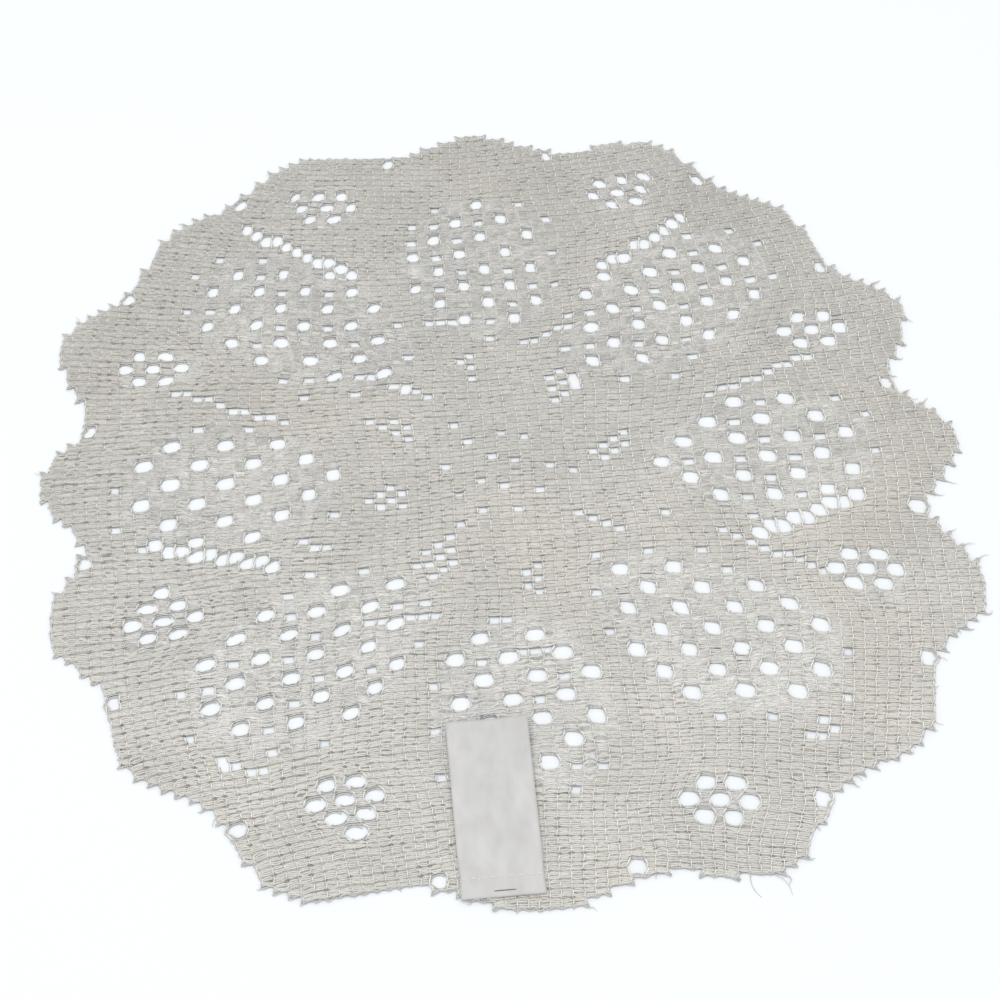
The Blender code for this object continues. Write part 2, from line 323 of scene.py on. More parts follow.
# The loose ends: each leaves the edge at a turn, with a heading and a bend, all in degrees.
Hair = namedtuple("Hair", "turn length heading bend")
HAIRS = (
    Hair(-69, 8 * MM, -105, 60),
    Hair(-67, 9 * MM, -20, -70),
    Hair(-41, 3.5 * MM, -70, 75),
    Hair(-33, 3 * MM, 10, -70),
    Hair(-52, 3.5 * MM, -10, -60),
    Hair(-18, 4 * MM, -60, 60),
    Hair(8, 3 * MM, -30, 60),
    Hair(97, 4 * MM, 70, 50),
    Hair(152, 3.5 * MM, 85, 50),
    Hair(176, 3 * MM, 190, -50),
    Hair(232, 3.5 * MM, 220, 50),
)
HAIR_STEPS = 14
HAIR_TAPER = 0.55
HAIR_DROOPS = 0.6
HAIR_RISES = 0.2 * MM
HAIR_WAVES = 3
HAIR_TONES = (0.2, 0.5)
HAIR_SHEER = 0.6

# The label and what holds it. A share across it goes from -0.5 to 0.5, and a share along it from 0 at its
# sewn end to 1 at its free end. The crease starts where the two add up to its number, and the lip at its own
# share across.
LABEL_WIDTH = 25.2 * MM
LABEL_LENGTH = 59.5 * MM
LABEL_CENTRE = (-10.9 * MM, -127.0 * MM)
LABEL_TURN = math.radians(0.8)
LABEL_HEIGHT = 1.3 * MM
LABEL_LIFT = 1.6 * MM
LABEL_BELLY = 0.35 * MM
LABEL_COLUMNS = 24
LABEL_RUNS = 56
SEAM_PLACE = 6.7 * MM
SEAM_STITCHES = 9
SEAM_DIP = 0.25 * MM
SEAM_DIP_WIDTH = 1.3 * MM
SEAM_DRAWS_IN = 0.02
SEAM_DRAWS_WIDTH = 4 * MM
COCKLE = 0.12 * MM
COCKLE_LENGTH = 3.1 * MM
COCKLE_TURNS = 5
COCKLE_AT_SEWN_END = 0.3
CORNER_CREASE = 0.9 * MM
CREASE_STARTS = 1.16
EDGE_LIP = 0.5 * MM
LIP_STARTS = 0.43
LIP_RISES = (0.4, 0.9)
SEWING_SIDES = 6
STITCH_STEPS = 7
STITCH_SHARE = 0.4
STITCH_RISE = 0.45
STITCH_SINK = 1.2
TACK_STEPS = 15
TACK_PLACE = 2.0 * MM
TACK_ACROSS = 0.5 * MM
TACK_LENGTH = 6.5 * MM
TACK_RADIUS = 0.13 * MM
TACK_RISE = 0.1 * MM
TACK_SINK = 0.15 * MM

# The finishes. A stretch draws streaks or clouds out along one way, and noise is spread out from a range to
# full contrast. A pair scales a value and adds to it.
ALONG_ROWS = (0.25, 1.0, 1.0)
ALONG_WALES = (1.0, 0.12, 1.0)
ANY_WAY = (1.0, 1.0, 1.0)
CLOUDS_DRAWN = (1.0, 0.55, 1.0)
STREAK_RANGE = (0.36, 0.64)
PATCH_RANGE = (0.3, 0.7)
WARM_PATCHES_SCALE = 0.43
SPECULAR = 0.25
YARN_ROUGHNESS = 0.86
YARN_SHEEN = 0.25
YARN_HANDLED = (0.10, 0.93)
YARN_WARMED = 0.5
WARM_TINT = (1.0, 0.985, 0.955, 1.0)
YARN_BUMP = {"Strength": 0.35, "Distance": 0.08 * MM}
TAPE_ROUGHNESS = 0.34
TAPE_ROUGHER = 0.15
TAPE_SHEEN = 0.15
TAPE_RIBS = {"Scale": 900.0, "Distortion": 0.6, "Detail": 1.0}
TAPE_CLOUDS = 210.0
TAPE_CLOUDED = (0.13, 0.86)
TAPE_RIBBED = 0.02
TAPE_BUMP = {"Strength": 0.3, "Distance": 0.06 * MM}
FLOOR_ROUGHNESS = 0.9

# The stage. The camera's place is from the perspective of the photograph.
CAMERA_TARGET = (-0.3 * MM, -11.6 * MM)
SENSOR = 36.0
SOFTBOX_PLACE = (-0.2, -0.1, 1.6)
WHITE = (1.0, 1.0, 1.0, 1.0)


# The net's shape


def leaf_level(x, y, leaf, flare=0.0):
    """0 in the middle of a petal or a leaf and 1 on its rim. A flare makes its outer end the wider one."""
    angle = math.radians(leaf.turn)
    out = x * math.cos(angle) + y * math.sin(angle) - leaf.centre
    side = y * math.cos(angle) - x * math.sin(angle)
    lean = math.radians(leaf.tilt)
    along = (out * math.cos(lean) + side * math.sin(lean)) / leaf.half_length
    across = (side * math.cos(lean) - out * math.sin(lean)) / leaf.half_width
    return np.hypot(along, across / (1 + flare * along))


def lattice(level, gaps_apart, rows_apart):
    """A half-drop lattice of openings, counted from the middle of its leaf."""
    gap, row = np.indices(level.shape)
    middle_gap, middle_row = np.unravel_index(np.argmin(level), level.shape)
    column = (gap - middle_gap) // gaps_apart
    drop = rows_apart // 2 * (column % 2)
    return ((gap - middle_gap) % gaps_apart == 0) & ((row - middle_row + drop) % rows_apart == 0)


def pulled(x, y):
    """Where a point of the even net comes to lie."""
    return x * (1 - BARREL * y**2), y * (1 + FAN * x**2 + ROW_GROWTH * y**2)


def nearest_cell(x, y, place_x, place_y):
    return np.unravel_index(np.argmin(np.hypot(x - place_x, y - place_y)), x.shape)


def chart():
    """The cells that start a tall opening, those that are small openings, and those of petals and leaves."""
    gap, row = np.meshgrid(np.arange(-GAPS, GAPS), np.arange(-ROWS, ROWS), indexing="ij")
    x, y = pulled((gap + 0.5) * GAP, (row + 0.5) * ROW)
    tall, small, in_petal, in_leaf = (np.zeros(x.shape, bool) for _ in range(4))
    speckled = np.random.default_rng(NET_SEED).random(x.shape) < SPECK_SHARE
    for petal in PETALS:
        level = leaf_level(x, y, petal, PETAL_FLARE)
        in_petal |= level < 1
        spots = lattice(level, LATTICE_GAPS, LATTICE_ROWS)
        tall |= spots & (level < LATTICE_REACH)
        small |= spots & (level >= LATTICE_REACH) & (level < FINE_LEVEL)
        if petal.turn not in PLAIN_PETALS:
            small |= np.roll(spots, SPECK_ROWS, 1) & (level < LATTICE_REACH) & speckled
    for leaf in RIM_LEAVES:
        level = leaf_level(x, y, leaf)
        in_leaf |= level < 1
        tall |= lattice(level, LEAF_GAPS, LEAF_ROWS) & (level < 1)
    mark_slants(tall, x, y, BOLD_EDGINGS)
    mark_slants(small, x, y, SLANTS)
    small |= little_openings(gap, row, x, y)
    return tall, small, in_petal, in_leaf


def mark_slants(cells, x, y, slants):
    """Mark one cell to a gap along each slanting line."""
    for slant in slants:
        first_gap, first_row = nearest_cell(x, y, slant.x, slant.y)
        for step in range(slant.gaps):
            cells[first_gap + slant.way * step, first_row + round(slant.rise * step)] = True


def little_openings(gap, row, x, y):
    """The inner leaves and the rings round the middle."""
    little = np.zeros(x.shape, bool)
    for leaf in INNER_LEAVES:
        little |= (leaf_level(x, y, leaf) < 1) & ((gap + row) % 2 == 0)
    for ring in CENTRE_RINGS:
        for turn in np.radians(ring.turn + np.arange(ring.cells) * 360 / ring.cells):
            little[nearest_cell(x, y, ring.radius * math.cos(turn), ring.radius * math.sin(turn))] = True
    return little


def eased(mask, rows):
    """A cell mask averaged down its gaps, so that the wales bend gently."""
    weights = np.hanning(2 * rows + 3)
    weights /= weights.sum()
    return np.apply_along_axis(lambda gap: np.convolve(gap, weights, "same"), 1, mask.astype(float))


def slow_wave(across, along, start):
    return WAVE * np.sin(2 * math.pi * (along + WAVE_SLANT * across) / WAVE_LENGTH + start)


def net_points(in_petal, in_leaf):
    """Where each wale crosses each row line, before the openings bend them."""
    width = GAP * (1 + PETAL_SPREAD * eased(in_petal, PETAL_EASE) + LEAF_SPREAD * eased(in_leaf, LEAF_EASE))
    wales = np.vstack([np.zeros(2 * ROWS), np.cumsum(width, axis=0)])
    wales -= wales[GAPS]
    held = HELD_GAPS * GAP
    wales *= np.where(wales > 0, held / wales[GAPS + HELD_GAPS], -held / wales[GAPS - HELD_GAPS])
    ends = np.hstack([wales[:, :1], wales, wales[:, -1:]])
    x = (ends[:, 1:] + ends[:, :-1]) / 2
    y = np.tile(np.arange(-ROWS, ROWS + 1) * ROW, (2 * GAPS + 1, 1))
    pulled_x, pulled_y = pulled(x, y)
    return pulled_x + slow_wave(x, y, WAVE_STARTS[0]), pulled_y + slow_wave(-y, x, WAVE_STARTS[1])


def outline_radius(turn):
    waves = sum(wave.height * np.sin(wave.times * turn + math.radians(wave.start)) for wave in EDGE_WAVES)
    return EDGE_RADIUS + waves


def count_round(cells):
    """How many of the four cells beside each cell are set."""
    padded = np.pad(cells.astype(int), 1)
    return padded[2:, 1:-1] + padded[:-2, 1:-1] + padded[1:-1, 2:] + padded[1:-1, :-2]


def cells_inside(x, y):
    """The cells of the doily, without lone teeth or nicks in its stepped edge."""
    middle_x = (x[1:, 1:] + x[:-1, :-1]) / 2
    middle_y = (y[1:, 1:] + y[:-1, :-1]) / 2
    inside = np.hypot(middle_x, middle_y) < outline_radius(np.arctan2(middle_y, middle_x))
    inside &= count_round(inside) > 1
    inside |= count_round(inside) > 2
    return inside, middle_x, middle_y


def ease_edge(inside, x, y):
    """Draw the stepped edge part of the way to the smooth outline."""
    filled = np.pad(inside.astype(int), 1)
    beside = filled[1:, 1:] + filled[1:, :-1] + filled[:-1, 1:] + filled[:-1, :-1]
    edge = (beside > 0) & (beside < 4)
    radius = np.hypot(x[edge], y[edge])
    pull = 1 + EDGE_EASE * (outline_radius(np.arctan2(y[edge], x[edge])) / radius - 1)
    x[edge] *= pull
    y[edge] *= pull


def apart(tall):
    """Drop each opening that would run into the one below it."""
    for row in range(1, tall.shape[1]):
        tall[:, row] &= ~tall[:, row - 1]


def add_edge_loops(tall, inside, middle_x, middle_y):
    """An opening at the edge in each notch between two lobes, which leaves a thin loop round it."""
    free = ~tall & ~np.roll(tall, 1, 1) & ~np.roll(tall, -1, 1)
    pair = inside & np.roll(inside, -1, 1) & free
    for lobe in range(LOBES):
        turn = (lobe + 0.5) * 2 * math.pi / LOBES
        radius = outline_radius(turn) - EDGE_LOOP_DEPTH
        distance = np.hypot(middle_x - radius * math.cos(turn), middle_y - radius * math.sin(turn))
        nearest = np.argmin(np.where(pair, distance, EDGE_RADIUS))
        tall[np.unravel_index(nearest, tall.shape)] = True


def bend_round(tall, x, y):
    """Bow the wales and lift the rows away from every opening, and mark the points at its waist."""
    waist = np.zeros(x.shape, bool)
    gap, row = np.nonzero(tall)
    varied = 1 + BOW_VARIES * np.sin(BOW_CHANGES[0] * gap + BOW_CHANGES[1] * row)
    bow = BOW * (varied - BOW_MORE_BELOW * y[gap, row])
    for side, outward in ((0, -1), (1, 1)):
        waist[gap + side, row + 1] = True
        np.add.at(x, (gap + side, row + 1), outward * bow)
        np.add.at(x, (gap + side, row), outward * BOW_AT_ENDS)
        np.add.at(x, (gap + side, row + 2), outward * BOW_AT_ENDS)
        np.add.at(y, (gap + side, row), -LIFT)
        np.add.at(y, (gap + side, row + 2), LIFT)
    return waist


def edge_ring(inside):
    """The corners of the stepped edge in order, which way is out at each, and how many cells meet there."""
    filled = np.pad(inside.astype(int), 1)
    left = filled[:-1, 1:] + filled[:-1, :-1]
    right = filled[1:, 1:] + filled[1:, :-1]
    below = filled[1:, :-1] + filled[:-1, :-1]
    above = filled[1:, 1:] + filled[:-1, 1:]
    out_x = np.sign(left - right)
    out_y = np.sign(below - above)
    following = {}
    for gap, row in zip(*np.nonzero(inside)):
        corners = ((gap, row), (gap + 1, row), (gap + 1, row + 1), (gap, row + 1))
        beside = ((gap, row - 1), (gap + 1, row), (gap, row + 1), (gap - 1, row))
        for start, end, other in zip(corners, corners[1:] + corners[:1], beside):
            if not inside[other]:
                following[start] = end
    corner = min(following)
    ring = []
    for _ in range(len(following)):
        ring.append(corner)
        corner = following[corner]
    at = tuple(np.array(ring).T)
    return at, np.stack([out_x[at], out_y[at]], axis=1), (left + right)[at]


Net = namedtuple("Net", "x y inside tall filled sheer ladder edge edge_out edge_cells size middle")


@functools.lru_cache(maxsize=None)
def doily_net():
    """The whole net, with its origin under the middle of the solids' box."""
    tall, small, in_petal, in_leaf = chart()
    x, y = net_points(in_petal, in_leaf)
    inside, middle_x, middle_y = cells_inside(x, y)
    tall &= inside & np.roll(inside, -1, 1)
    apart(tall)
    add_edge_loops(tall, inside, middle_x, middle_y)
    ease_edge(inside, x, y)
    waist = bend_round(tall, x, y)
    edge, edge_out, edge_cells = edge_ring(inside)
    cornered = waist[edge] | (edge_out[:, 0] * edge_out[:, 1] != 0)
    outline = np.stack([x[edge], y[edge]], axis=1)[cornered] + edge_out[cornered] * WALE / 2
    lowest, highest = outline.min(axis=0), outline.max(axis=0)
    middle = (lowest + highest) / 2
    rng = np.random.default_rng(NET_SEED)
    x += rng.normal(0, CROSSING_WANDER, x.shape)
    y += rng.normal(0, CROSSING_WANDER, y.shape)
    lean_openings(tall, x, y)
    opened = tall | np.roll(tall, 1, 1)
    beside_tall = np.roll(opened, 1, 1) | np.roll(opened, -1, 1)
    small &= inside & ~opened & ~beside_tall
    filled = inside & ~opened & ~small
    sheer = filled & (in_petal | in_leaf)
    ladder = sheer * near_openings(opened)
    x, y = x - middle[0], y - middle[1]
    size = highest - lowest
    return Net(x, y, inside, tall, filled, sheer, ladder, edge, edge_out, edge_cells, size, middle)


def lean_openings(tall, x, y):
    """Make each opening lean, with its inner corners raised, and draw the upper openings narrower."""
    gap, row = np.nonzero(tall)
    lean = -OPENING_LEANS * np.clip(x[gap, row] / LEANS_FULLY_AT, -1, 1)
    narrower = UPPER_NARROWER * np.clip(y[gap, row] / LEANS_FULLY_AT, 0, 1)
    for side, way in ((0, -1), (1, 1)):
        for corner in (row, row + 1, row + 2):
            np.add.at(y, (gap + side, corner), way * lean)
            np.add.at(x, (gap + side, corner), -way * narrower)


def near_openings(opened):
    """How much each cell is opened up: most just above or below a tall opening, less a row further on."""
    near = np.zeros(opened.shape)
    for rows, openness in enumerate(LADDER_FADE, 1):
        for way in (rows, -rows):
            near = np.maximum(near, openness * np.roll(opened, way, 1))
    return near


def lie(x, y):
    """How far the doily stands off the table in slow swells."""
    swell = np.sin(2 * math.pi * x / LIE_LENGTH + LIE_START) * np.sin(2 * math.pi * y / LIE_LENGTH)
    return LIE_HEIGHT * (1 + swell)


def on_curve(t, start, slope_start, end, slope_end):
    """A place from 0 to 1 on the smooth curve between two points, from its slopes at both."""
    return (
        (2 * t**3 - 3 * t**2 + 1) * start
        + (t**3 - 2 * t**2 + t) * slope_start
        + (3 * t**2 - 2 * t**3) * end
        + (t**3 - t**2) * slope_end
    )


def up_the_row(line, place):
    """A coordinate of every wale at one place up each row, on a smooth curve through its crossings."""
    slope = np.gradient(line, axis=1)
    return on_curve(place, line[:, :-1], slope[:, :-1], line[:, 1:], slope[:, 1:])


def runs(cells):
    """The first and last index of each unbroken run of set cells."""
    padded = np.concatenate([[False], cells, [False]]).astype(int)
    starts = np.flatnonzero(np.diff(padded) == 1)
    ends = np.flatnonzero(np.diff(padded) == -1) - 1
    return list(zip(starts, ends))


class Strands:
    """Threads collected as tubes, to be made into one mesh."""

    def __init__(self, sides=THREAD_SIDES):
        self.sides = sides
        self.points = []
        self.quads = []
        self.caps = []
        self.tone = []
        self.sheer = []
        self.count = 0

    def add(self, path, radius, tone=0.5, sheer=0.0, flat=1.0):
        """A closed tube round a path. Its section is flat times as high as it is wide."""
        path = np.asarray(path, float)
        steps = len(path)
        tangent = np.gradient(path, axis=0)
        level = np.maximum(np.hypot(tangent[:, 0], tangent[:, 1]), NEVER_ZERO)
        side = np.stack([-tangent[:, 1] / level, tangent[:, 0] / level, np.zeros(steps)], axis=1)
        angle = math.pi / 2 + np.arange(self.sides) * 2 * math.pi / self.sides
        radius = np.broadcast_to(radius, steps)[:, None, None]
        out = side[:, None, :] * np.cos(angle)[None, :, None]
        rise = np.array([0.0, 0.0, flat]) * np.sin(angle)[None, :, None]
        self.points.append((path[:, None, :] + radius * (out + rise)).reshape(-1, 3))
        ring = self.count + np.arange(steps * self.sides).reshape(steps, self.sides)
        turned = np.roll(ring, -1, axis=1)
        self.quads.append(np.stack([ring[:-1], turned[:-1], turned[1:], ring[1:]], axis=-1).reshape(-1, 4))
        self.caps += [ring[0, ::-1], ring[-1]]
        for values, value in ((self.tone, tone), (self.sheer, sheer)):
            values.append(np.repeat(np.broadcast_to(value, steps), self.sides))
        self.count += steps * self.sides

    def make(self, name, material):
        faces = np.concatenate(self.quads).tolist() + [cap.tolist() for cap in self.caps]
        piece = make_piece(name, np.concatenate(self.points), faces, material)
        add_values(piece, "tone", np.concatenate(self.tone))
        add_values(piece, "sheer", np.concatenate(self.sheer))
        return piece


def place_in_scene(name, data):
    made = bpy.data.objects.new(name, data)
    bpy.context.scene.collection.objects.link(made)
    return made


def make_mesh(name, points, faces, material):
    mesh = bpy.data.meshes.new(name)
    mesh.from_pydata(points, [], faces)
    mesh.materials.append(material)
    return mesh


def make_piece(name, points, faces, material):
    """A smooth-shaded mesh object, with a map that looks straight down on it."""
    mesh = make_mesh(name, points.tolist(), faces, material)
    mesh.shade_smooth()
    corners = np.empty(len(mesh.loops), np.int32)
    mesh.loops.foreach_get("vertex_index", corners)
    lowest = points.min(axis=0)[:2]
    span = (points.max(axis=0)[:2] - lowest).max()
    layer = mesh.uv_layers.new(name="OFBake")
    layer.data.foreach_set("uv", ((points[corners, :2] - lowest) / span).astype(np.float32).ravel())
    return place_in_scene(name, mesh)


def add_values(piece, name, values):
    layer = piece.data.attributes.new(name, "FLOAT", "POINT")
    layer.data.foreach_set("value", values.astype(np.float32))


def thicken(piece, thickness):
    """Give a sheet its thickness, upwards."""
    modifier = piece.modifiers.new("thickness", "SOLIDIFY")
    modifier.thickness = thickness
    modifier.offset = 1.0


def settle(piece):
    """What every piece of the doily has: the body it rides on."""
    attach(piece, "root")
    return piece


# Materials


def new_group(name, inputs, outputs):
    """A shader node group with named sockets, and its input and output nodes."""
    group = bpy.data.node_groups.new(name, "ShaderNodeTree")
    for socket, kind, default in inputs:
        made = group.interface.new_socket(socket, in_out="INPUT", socket_type=kind)
        if default is not None:
            made.default_value = default
    for socket, kind in outputs:
        group.interface.new_socket(socket, in_out="OUTPUT", socket_type=kind)
    return group, group.nodes.new("NodeGroupInput"), group.nodes.new("NodeGroupOutput")


def add_node(tree, kind, values=(), **settings):
    """A node with its settings, and values or links on its input sockets."""
    node = tree.nodes.new(kind)
    for name, value in settings.items():
        setattr(node, name, value)
    for socket, value in dict(values).items():
        if isinstance(value, bpy.types.NodeSocket):
            tree.links.new(value, node.inputs[socket])
        else:
            node.inputs[socket].default_value = value
    return node


def math_node(tree, operation, first, second):
    return add_node(tree, "ShaderNodeMath", {0: first, 1: second}, operation=operation).outputs[0]


def scaled(tree, value, times, plus):
    return math_node(tree, "ADD", math_node(tree, "MULTIPLY", value, times), plus)


def full_contrast(tree, value, spread):
    """A value whose spread from low to high comes out as 0 to 1."""
    return add_node(tree, "ShaderNodeMapRange", {0: value, 1: spread[0], 2: spread[1]}).outputs[0]


def mix_colours(tree, factor, first, second, blend="MIX"):
    values = {0: factor, 6: first, 7: second}
    return add_node(tree, "ShaderNodeMix", values, data_type="RGBA", blend_type=blend).outputs[2]


def shaded(tree, colour, shade):
    """A colour made lighter or darker by a value."""
    grey = add_node(tree, "ShaderNodeCombineColor", {0: shade, 1: shade, 2: shade}).outputs[0]
    return mix_colours(tree, 1.0, colour, grey, "MULTIPLY")


def stretched(tree, vector, stretch):
    return add_node(tree, "ShaderNodeVectorMath", {0: vector, 1: stretch}, operation="MULTIPLY").outputs[0]


def use_group(tree, group, values):
    return add_node(tree, "ShaderNodeGroup", values, node_tree=group)


def bumpy(tree, shader, bump, height):
    made = add_node(tree, "ShaderNodeBump", {**bump, "Height": height})
    tree.links.new(made.outputs[0], shader.inputs["Normal"])


@functools.lru_cache(maxsize=None)
def streak_group():
    """Streaks drawn out along one way: the single threads of a bundle, lighter and darker."""
    group, entry, leave = new_group(
        "Thread streaks",
        (
            ("Vector", "NodeSocketVector", None),
            ("Stretch", "NodeSocketVector", (1.0, 1.0, 1.0)),
            ("Fineness", "NodeSocketFloat", 3200.0),
        ),
        (("Tone", "NodeSocketFloat"), ("Height", "NodeSocketFloat")),
    )
    drawn = stretched(group, entry.outputs["Vector"], entry.outputs["Stretch"])
    values = {"Vector": drawn, "Scale": entry.outputs["Fineness"], "Detail": 3.0, "Roughness": 0.6}
    noise = add_node(group, "ShaderNodeTexNoise", values).outputs[0]
    group.links.new(full_contrast(group, noise, STREAK_RANGE), leave.inputs["Tone"])
    group.links.new(noise, leave.inputs["Height"])
    return group


@functools.lru_cache(maxsize=None)
def handling_group():
    """Slow patches of lighter and warmer cloth, as handling and washing leave them."""
    group, entry, leave = new_group(
        "Soft handling",
        (("Vector", "NodeSocketVector", None), ("Patches", "NodeSocketFloat", 28.0)),
        (("Light", "NodeSocketFloat"), ("Warm", "NodeSocketFloat")),
    )
    for output, times in (("Light", 1.0), ("Warm", WARM_PATCHES_SCALE)):
        scale = math_node(group, "MULTIPLY", entry.outputs["Patches"], times)
        values = {"Vector": entry.outputs["Vector"], "Scale": scale, "Detail": 2.0}
        noise = add_node(group, "ShaderNodeTexNoise", values).outputs[0]
        group.links.new(full_contrast(group, noise, PATCH_RANGE), leave.inputs[output])
    return group


@functools.lru_cache(maxsize=None)
def twist_group():
    """Fine slanted ridges of spun yarn, for bump."""
    group, entry, leave = new_group(
        "Yarn twist",
        (("Vector", "NodeSocketVector", None), ("Ridges", "NodeSocketFloat", 2200.0)),
        (("Height", "NodeSocketFloat"),),
    )
    values = {"Vector": entry.outputs["Vector"], "Scale": entry.outputs["Ridges"]}
    values.update({"Distortion": 3.0, "Detail": 2.0, "Detail Scale": 1.5})
    wave = add_node(group, "ShaderNodeTexWave", values, bands_direction="DIAGONAL")
    group.links.new(wave.outputs["Fac"], leave.inputs["Height"])
    return group


def new_material(name, roughness, sheen):
    """A material with its shader, and the object's own coordinates."""
    made = bpy.data.materials.new(name)
    made.use_nodes = True
    shader = made.node_tree.nodes["Principled BSDF"]
    shader.inputs["Roughness"].default_value = roughness
    shader.inputs["Sheen Weight"].default_value = sheen
    shader.inputs["Specular IOR Level"].default_value = SPECULAR
    place = add_node(made.node_tree, "ShaderNodeTexCoord").outputs["Object"]
    return made, made.node_tree, shader, place


def rgba(colour):
    return (*colour, 1.0)


def yarn_material(name, stretch, light, dark, sheer_light, sheer_dark):
    """Matt yarn: streaks along the threads, a tone for each thread and a cooler tone where it lies sheer."""
    made, tree, shader, place = new_material(name, YARN_ROUGHNESS, YARN_SHEEN)
    tone = add_node(tree, "ShaderNodeAttribute", attribute_name="tone").outputs["Fac"]
    sheer = add_node(tree, "ShaderNodeAttribute", attribute_name="sheer").outputs["Fac"]
    streak = use_group(tree, streak_group(), {"Vector": place, "Stretch": stretch})
    handling = use_group(tree, handling_group(), {"Vector": place})
    twist = use_group(tree, twist_group(), {"Vector": place})
    blend = math_node(tree, "MULTIPLY", math_node(tree, "ADD", tone, streak.outputs["Tone"]), 0.5)
    colour = mix_colours(tree, blend, rgba(dark), rgba(light))
    cooled = mix_colours(tree, blend, rgba(sheer_dark), rgba(sheer_light))
    colour = mix_colours(tree, sheer, colour, cooled)
    colour = shaded(tree, colour, scaled(tree, handling.outputs["Light"], *YARN_HANDLED))
    warm = math_node(tree, "MULTIPLY", handling.outputs["Warm"], YARN_WARMED)
    colour = mix_colours(tree, warm, colour, WARM_TINT, "MULTIPLY")
    tree.links.new(colour, shader.inputs["Base Color"])
    height = math_node(tree, "ADD", streak.outputs["Height"], twist.outputs["Height"])
    bumpy(tree, shader, YARN_BUMP, height)
    return made


def plain_thread(name, colour):
    """Yarn of one colour."""
    return yarn_material(name, ALONG_ROWS, colour, colour, colour, colour)


def tape_material(name, colour):
    """Satin tape: close ribs across it, a soft lustre and faint clouds where it lies on the cloth."""
    made, tree, shader, place = new_material(name, TAPE_ROUGHNESS, TAPE_SHEEN)
    waves = add_node(tree, "ShaderNodeTexWave", {"Vector": place, **TAPE_RIBS}, bands_direction="Y")
    ribs = waves.outputs["Fac"]
    drawn = stretched(tree, place, CLOUDS_DRAWN)
    handling = use_group(tree, handling_group(), {"Vector": drawn, "Patches": TAPE_CLOUDS})
    clouded = scaled(tree, handling.outputs["Light"], *TAPE_CLOUDED)
    shade = math_node(tree, "ADD", clouded, math_node(tree, "MULTIPLY", ribs, TAPE_RIBBED))
    tree.links.new(shaded(tree, rgba(colour), shade), shader.inputs["Base Color"])
    bumpy(tree, shader, TAPE_BUMP, ribs)
    rough = scaled(tree, handling.outputs["Warm"], TAPE_ROUGHER, TAPE_ROUGHNESS)
    tree.links.new(rough, shader.inputs["Roughness"])
    return made


def floor_material(name, colour):
    made, _, shader, _ = new_material(name, FLOOR_ROUGHNESS, sheen=0.0)
    shader.inputs["Base Color"].default_value = rgba(colour)
    return made


# Settings


def length_setting(name, description, default):
    return bpy.props.FloatProperty(
        name=name, description=description, default=default, min=0.0, precision=5, unit="LENGTH"
    )


def angle_setting(name, description, degrees):
    return bpy.props.FloatProperty(
        name=name, description=description, default=math.radians(degrees), subtype="ANGLE"
    )


def colour_setting(name, description, default):
    return bpy.props.FloatVectorProperty(
        name=name, description=description, default=default, size=3, min=0.0, max=1.0, subtype="COLOR"
    )


class DoilyYarn(bpy.types.PropertyGroup):
    """Sizes and colours of the yarn."""

    fill_width: length_setting("Fill thread", "Width of one of the threads that fill a cell", 0.92 * MM)
    sheer_width: length_setting("Sheer thread", "Width of a fill thread in a petal", 0.76 * MM)
    ladder_width: length_setting("Ladder thread", "Width of a fill thread beside an opening", 0.45 * MM)
    rim_width: length_setting("Rim thread", "Width of a thread at an opening's foot or head", 0.52 * MM)
    wale_width: length_setting("Wale thread", "Width of one strand of a wale", 0.38 * MM)
    edge_width: length_setting("Edge thread", "Width of one strand of the edge", 0.42 * MM)
    hair_width: length_setting("Loose end", "Width of a loose thread at the edge", 0.26 * MM)
    web_thickness: length_setting("Web", "Thickness of the felted yarn inside the cells", 0.14 * MM)
    light: colour_setting("Light yarn", "The palest threads", (0.69, 0.678, 0.646))
    dark: colour_setting("Dark yarn", "The darkest threads", (0.415, 0.405, 0.38))
    sheer: colour_setting("Sheer yarn", "The palest threads of the petals", (0.78, 0.773, 0.75))
    sheer_dark: colour_setting("Dark sheer yarn", "The darkest threads of the petals", (0.36, 0.356, 0.34))
    # Painted shade: the deep and inner colours, plain and sheer, are the yarn in shadow between and under the
    # threads, put on the web.
    deep: colour_setting("Deep yarn", "Yarn seen in the darkest gaps", (0.11, 0.105, 0.09))
    inner: colour_setting("Inner yarn", "Yarn seen between the threads", (0.54, 0.527, 0.49))
    sheer_inner: colour_setting("Inner sheer yarn", "Yarn seen in a petal", (0.64, 0.635, 0.61))
    sheer_deep: colour_setting("Deep sheer yarn", "Yarn in a petal's darkest gaps", (0.2, 0.2, 0.19))
    wale: colour_setting("Wale yarn", "The palest chains of stitches", (0.92, 0.91, 0.875))
    wale_dark: colour_setting("Dark wale yarn", "The darkest chains of stitches", (0.56, 0.55, 0.51))
    seed: bpy.props.IntProperty(name="Seed", description="Start of the uneven draws", default=11)


class DoilyLabel(bpy.types.PropertyGroup):
    """Size and colours of the label."""

    thickness: length_setting("Tape", "Thickness of the satin tape", 0.2 * MM)
    stitch_width: length_setting("Stitch", "Width of the sewing thread", 0.3 * MM)
    tape: colour_setting("Tape colour", "White satin", (0.51, 0.506, 0.498))
    stitch: colour_setting("Thread colour", "Sewing thread", (0.72, 0.715, 0.69))
    tack: colour_setting("Tack colour", "The dark thread at the end", (0.13, 0.11, 0.09))


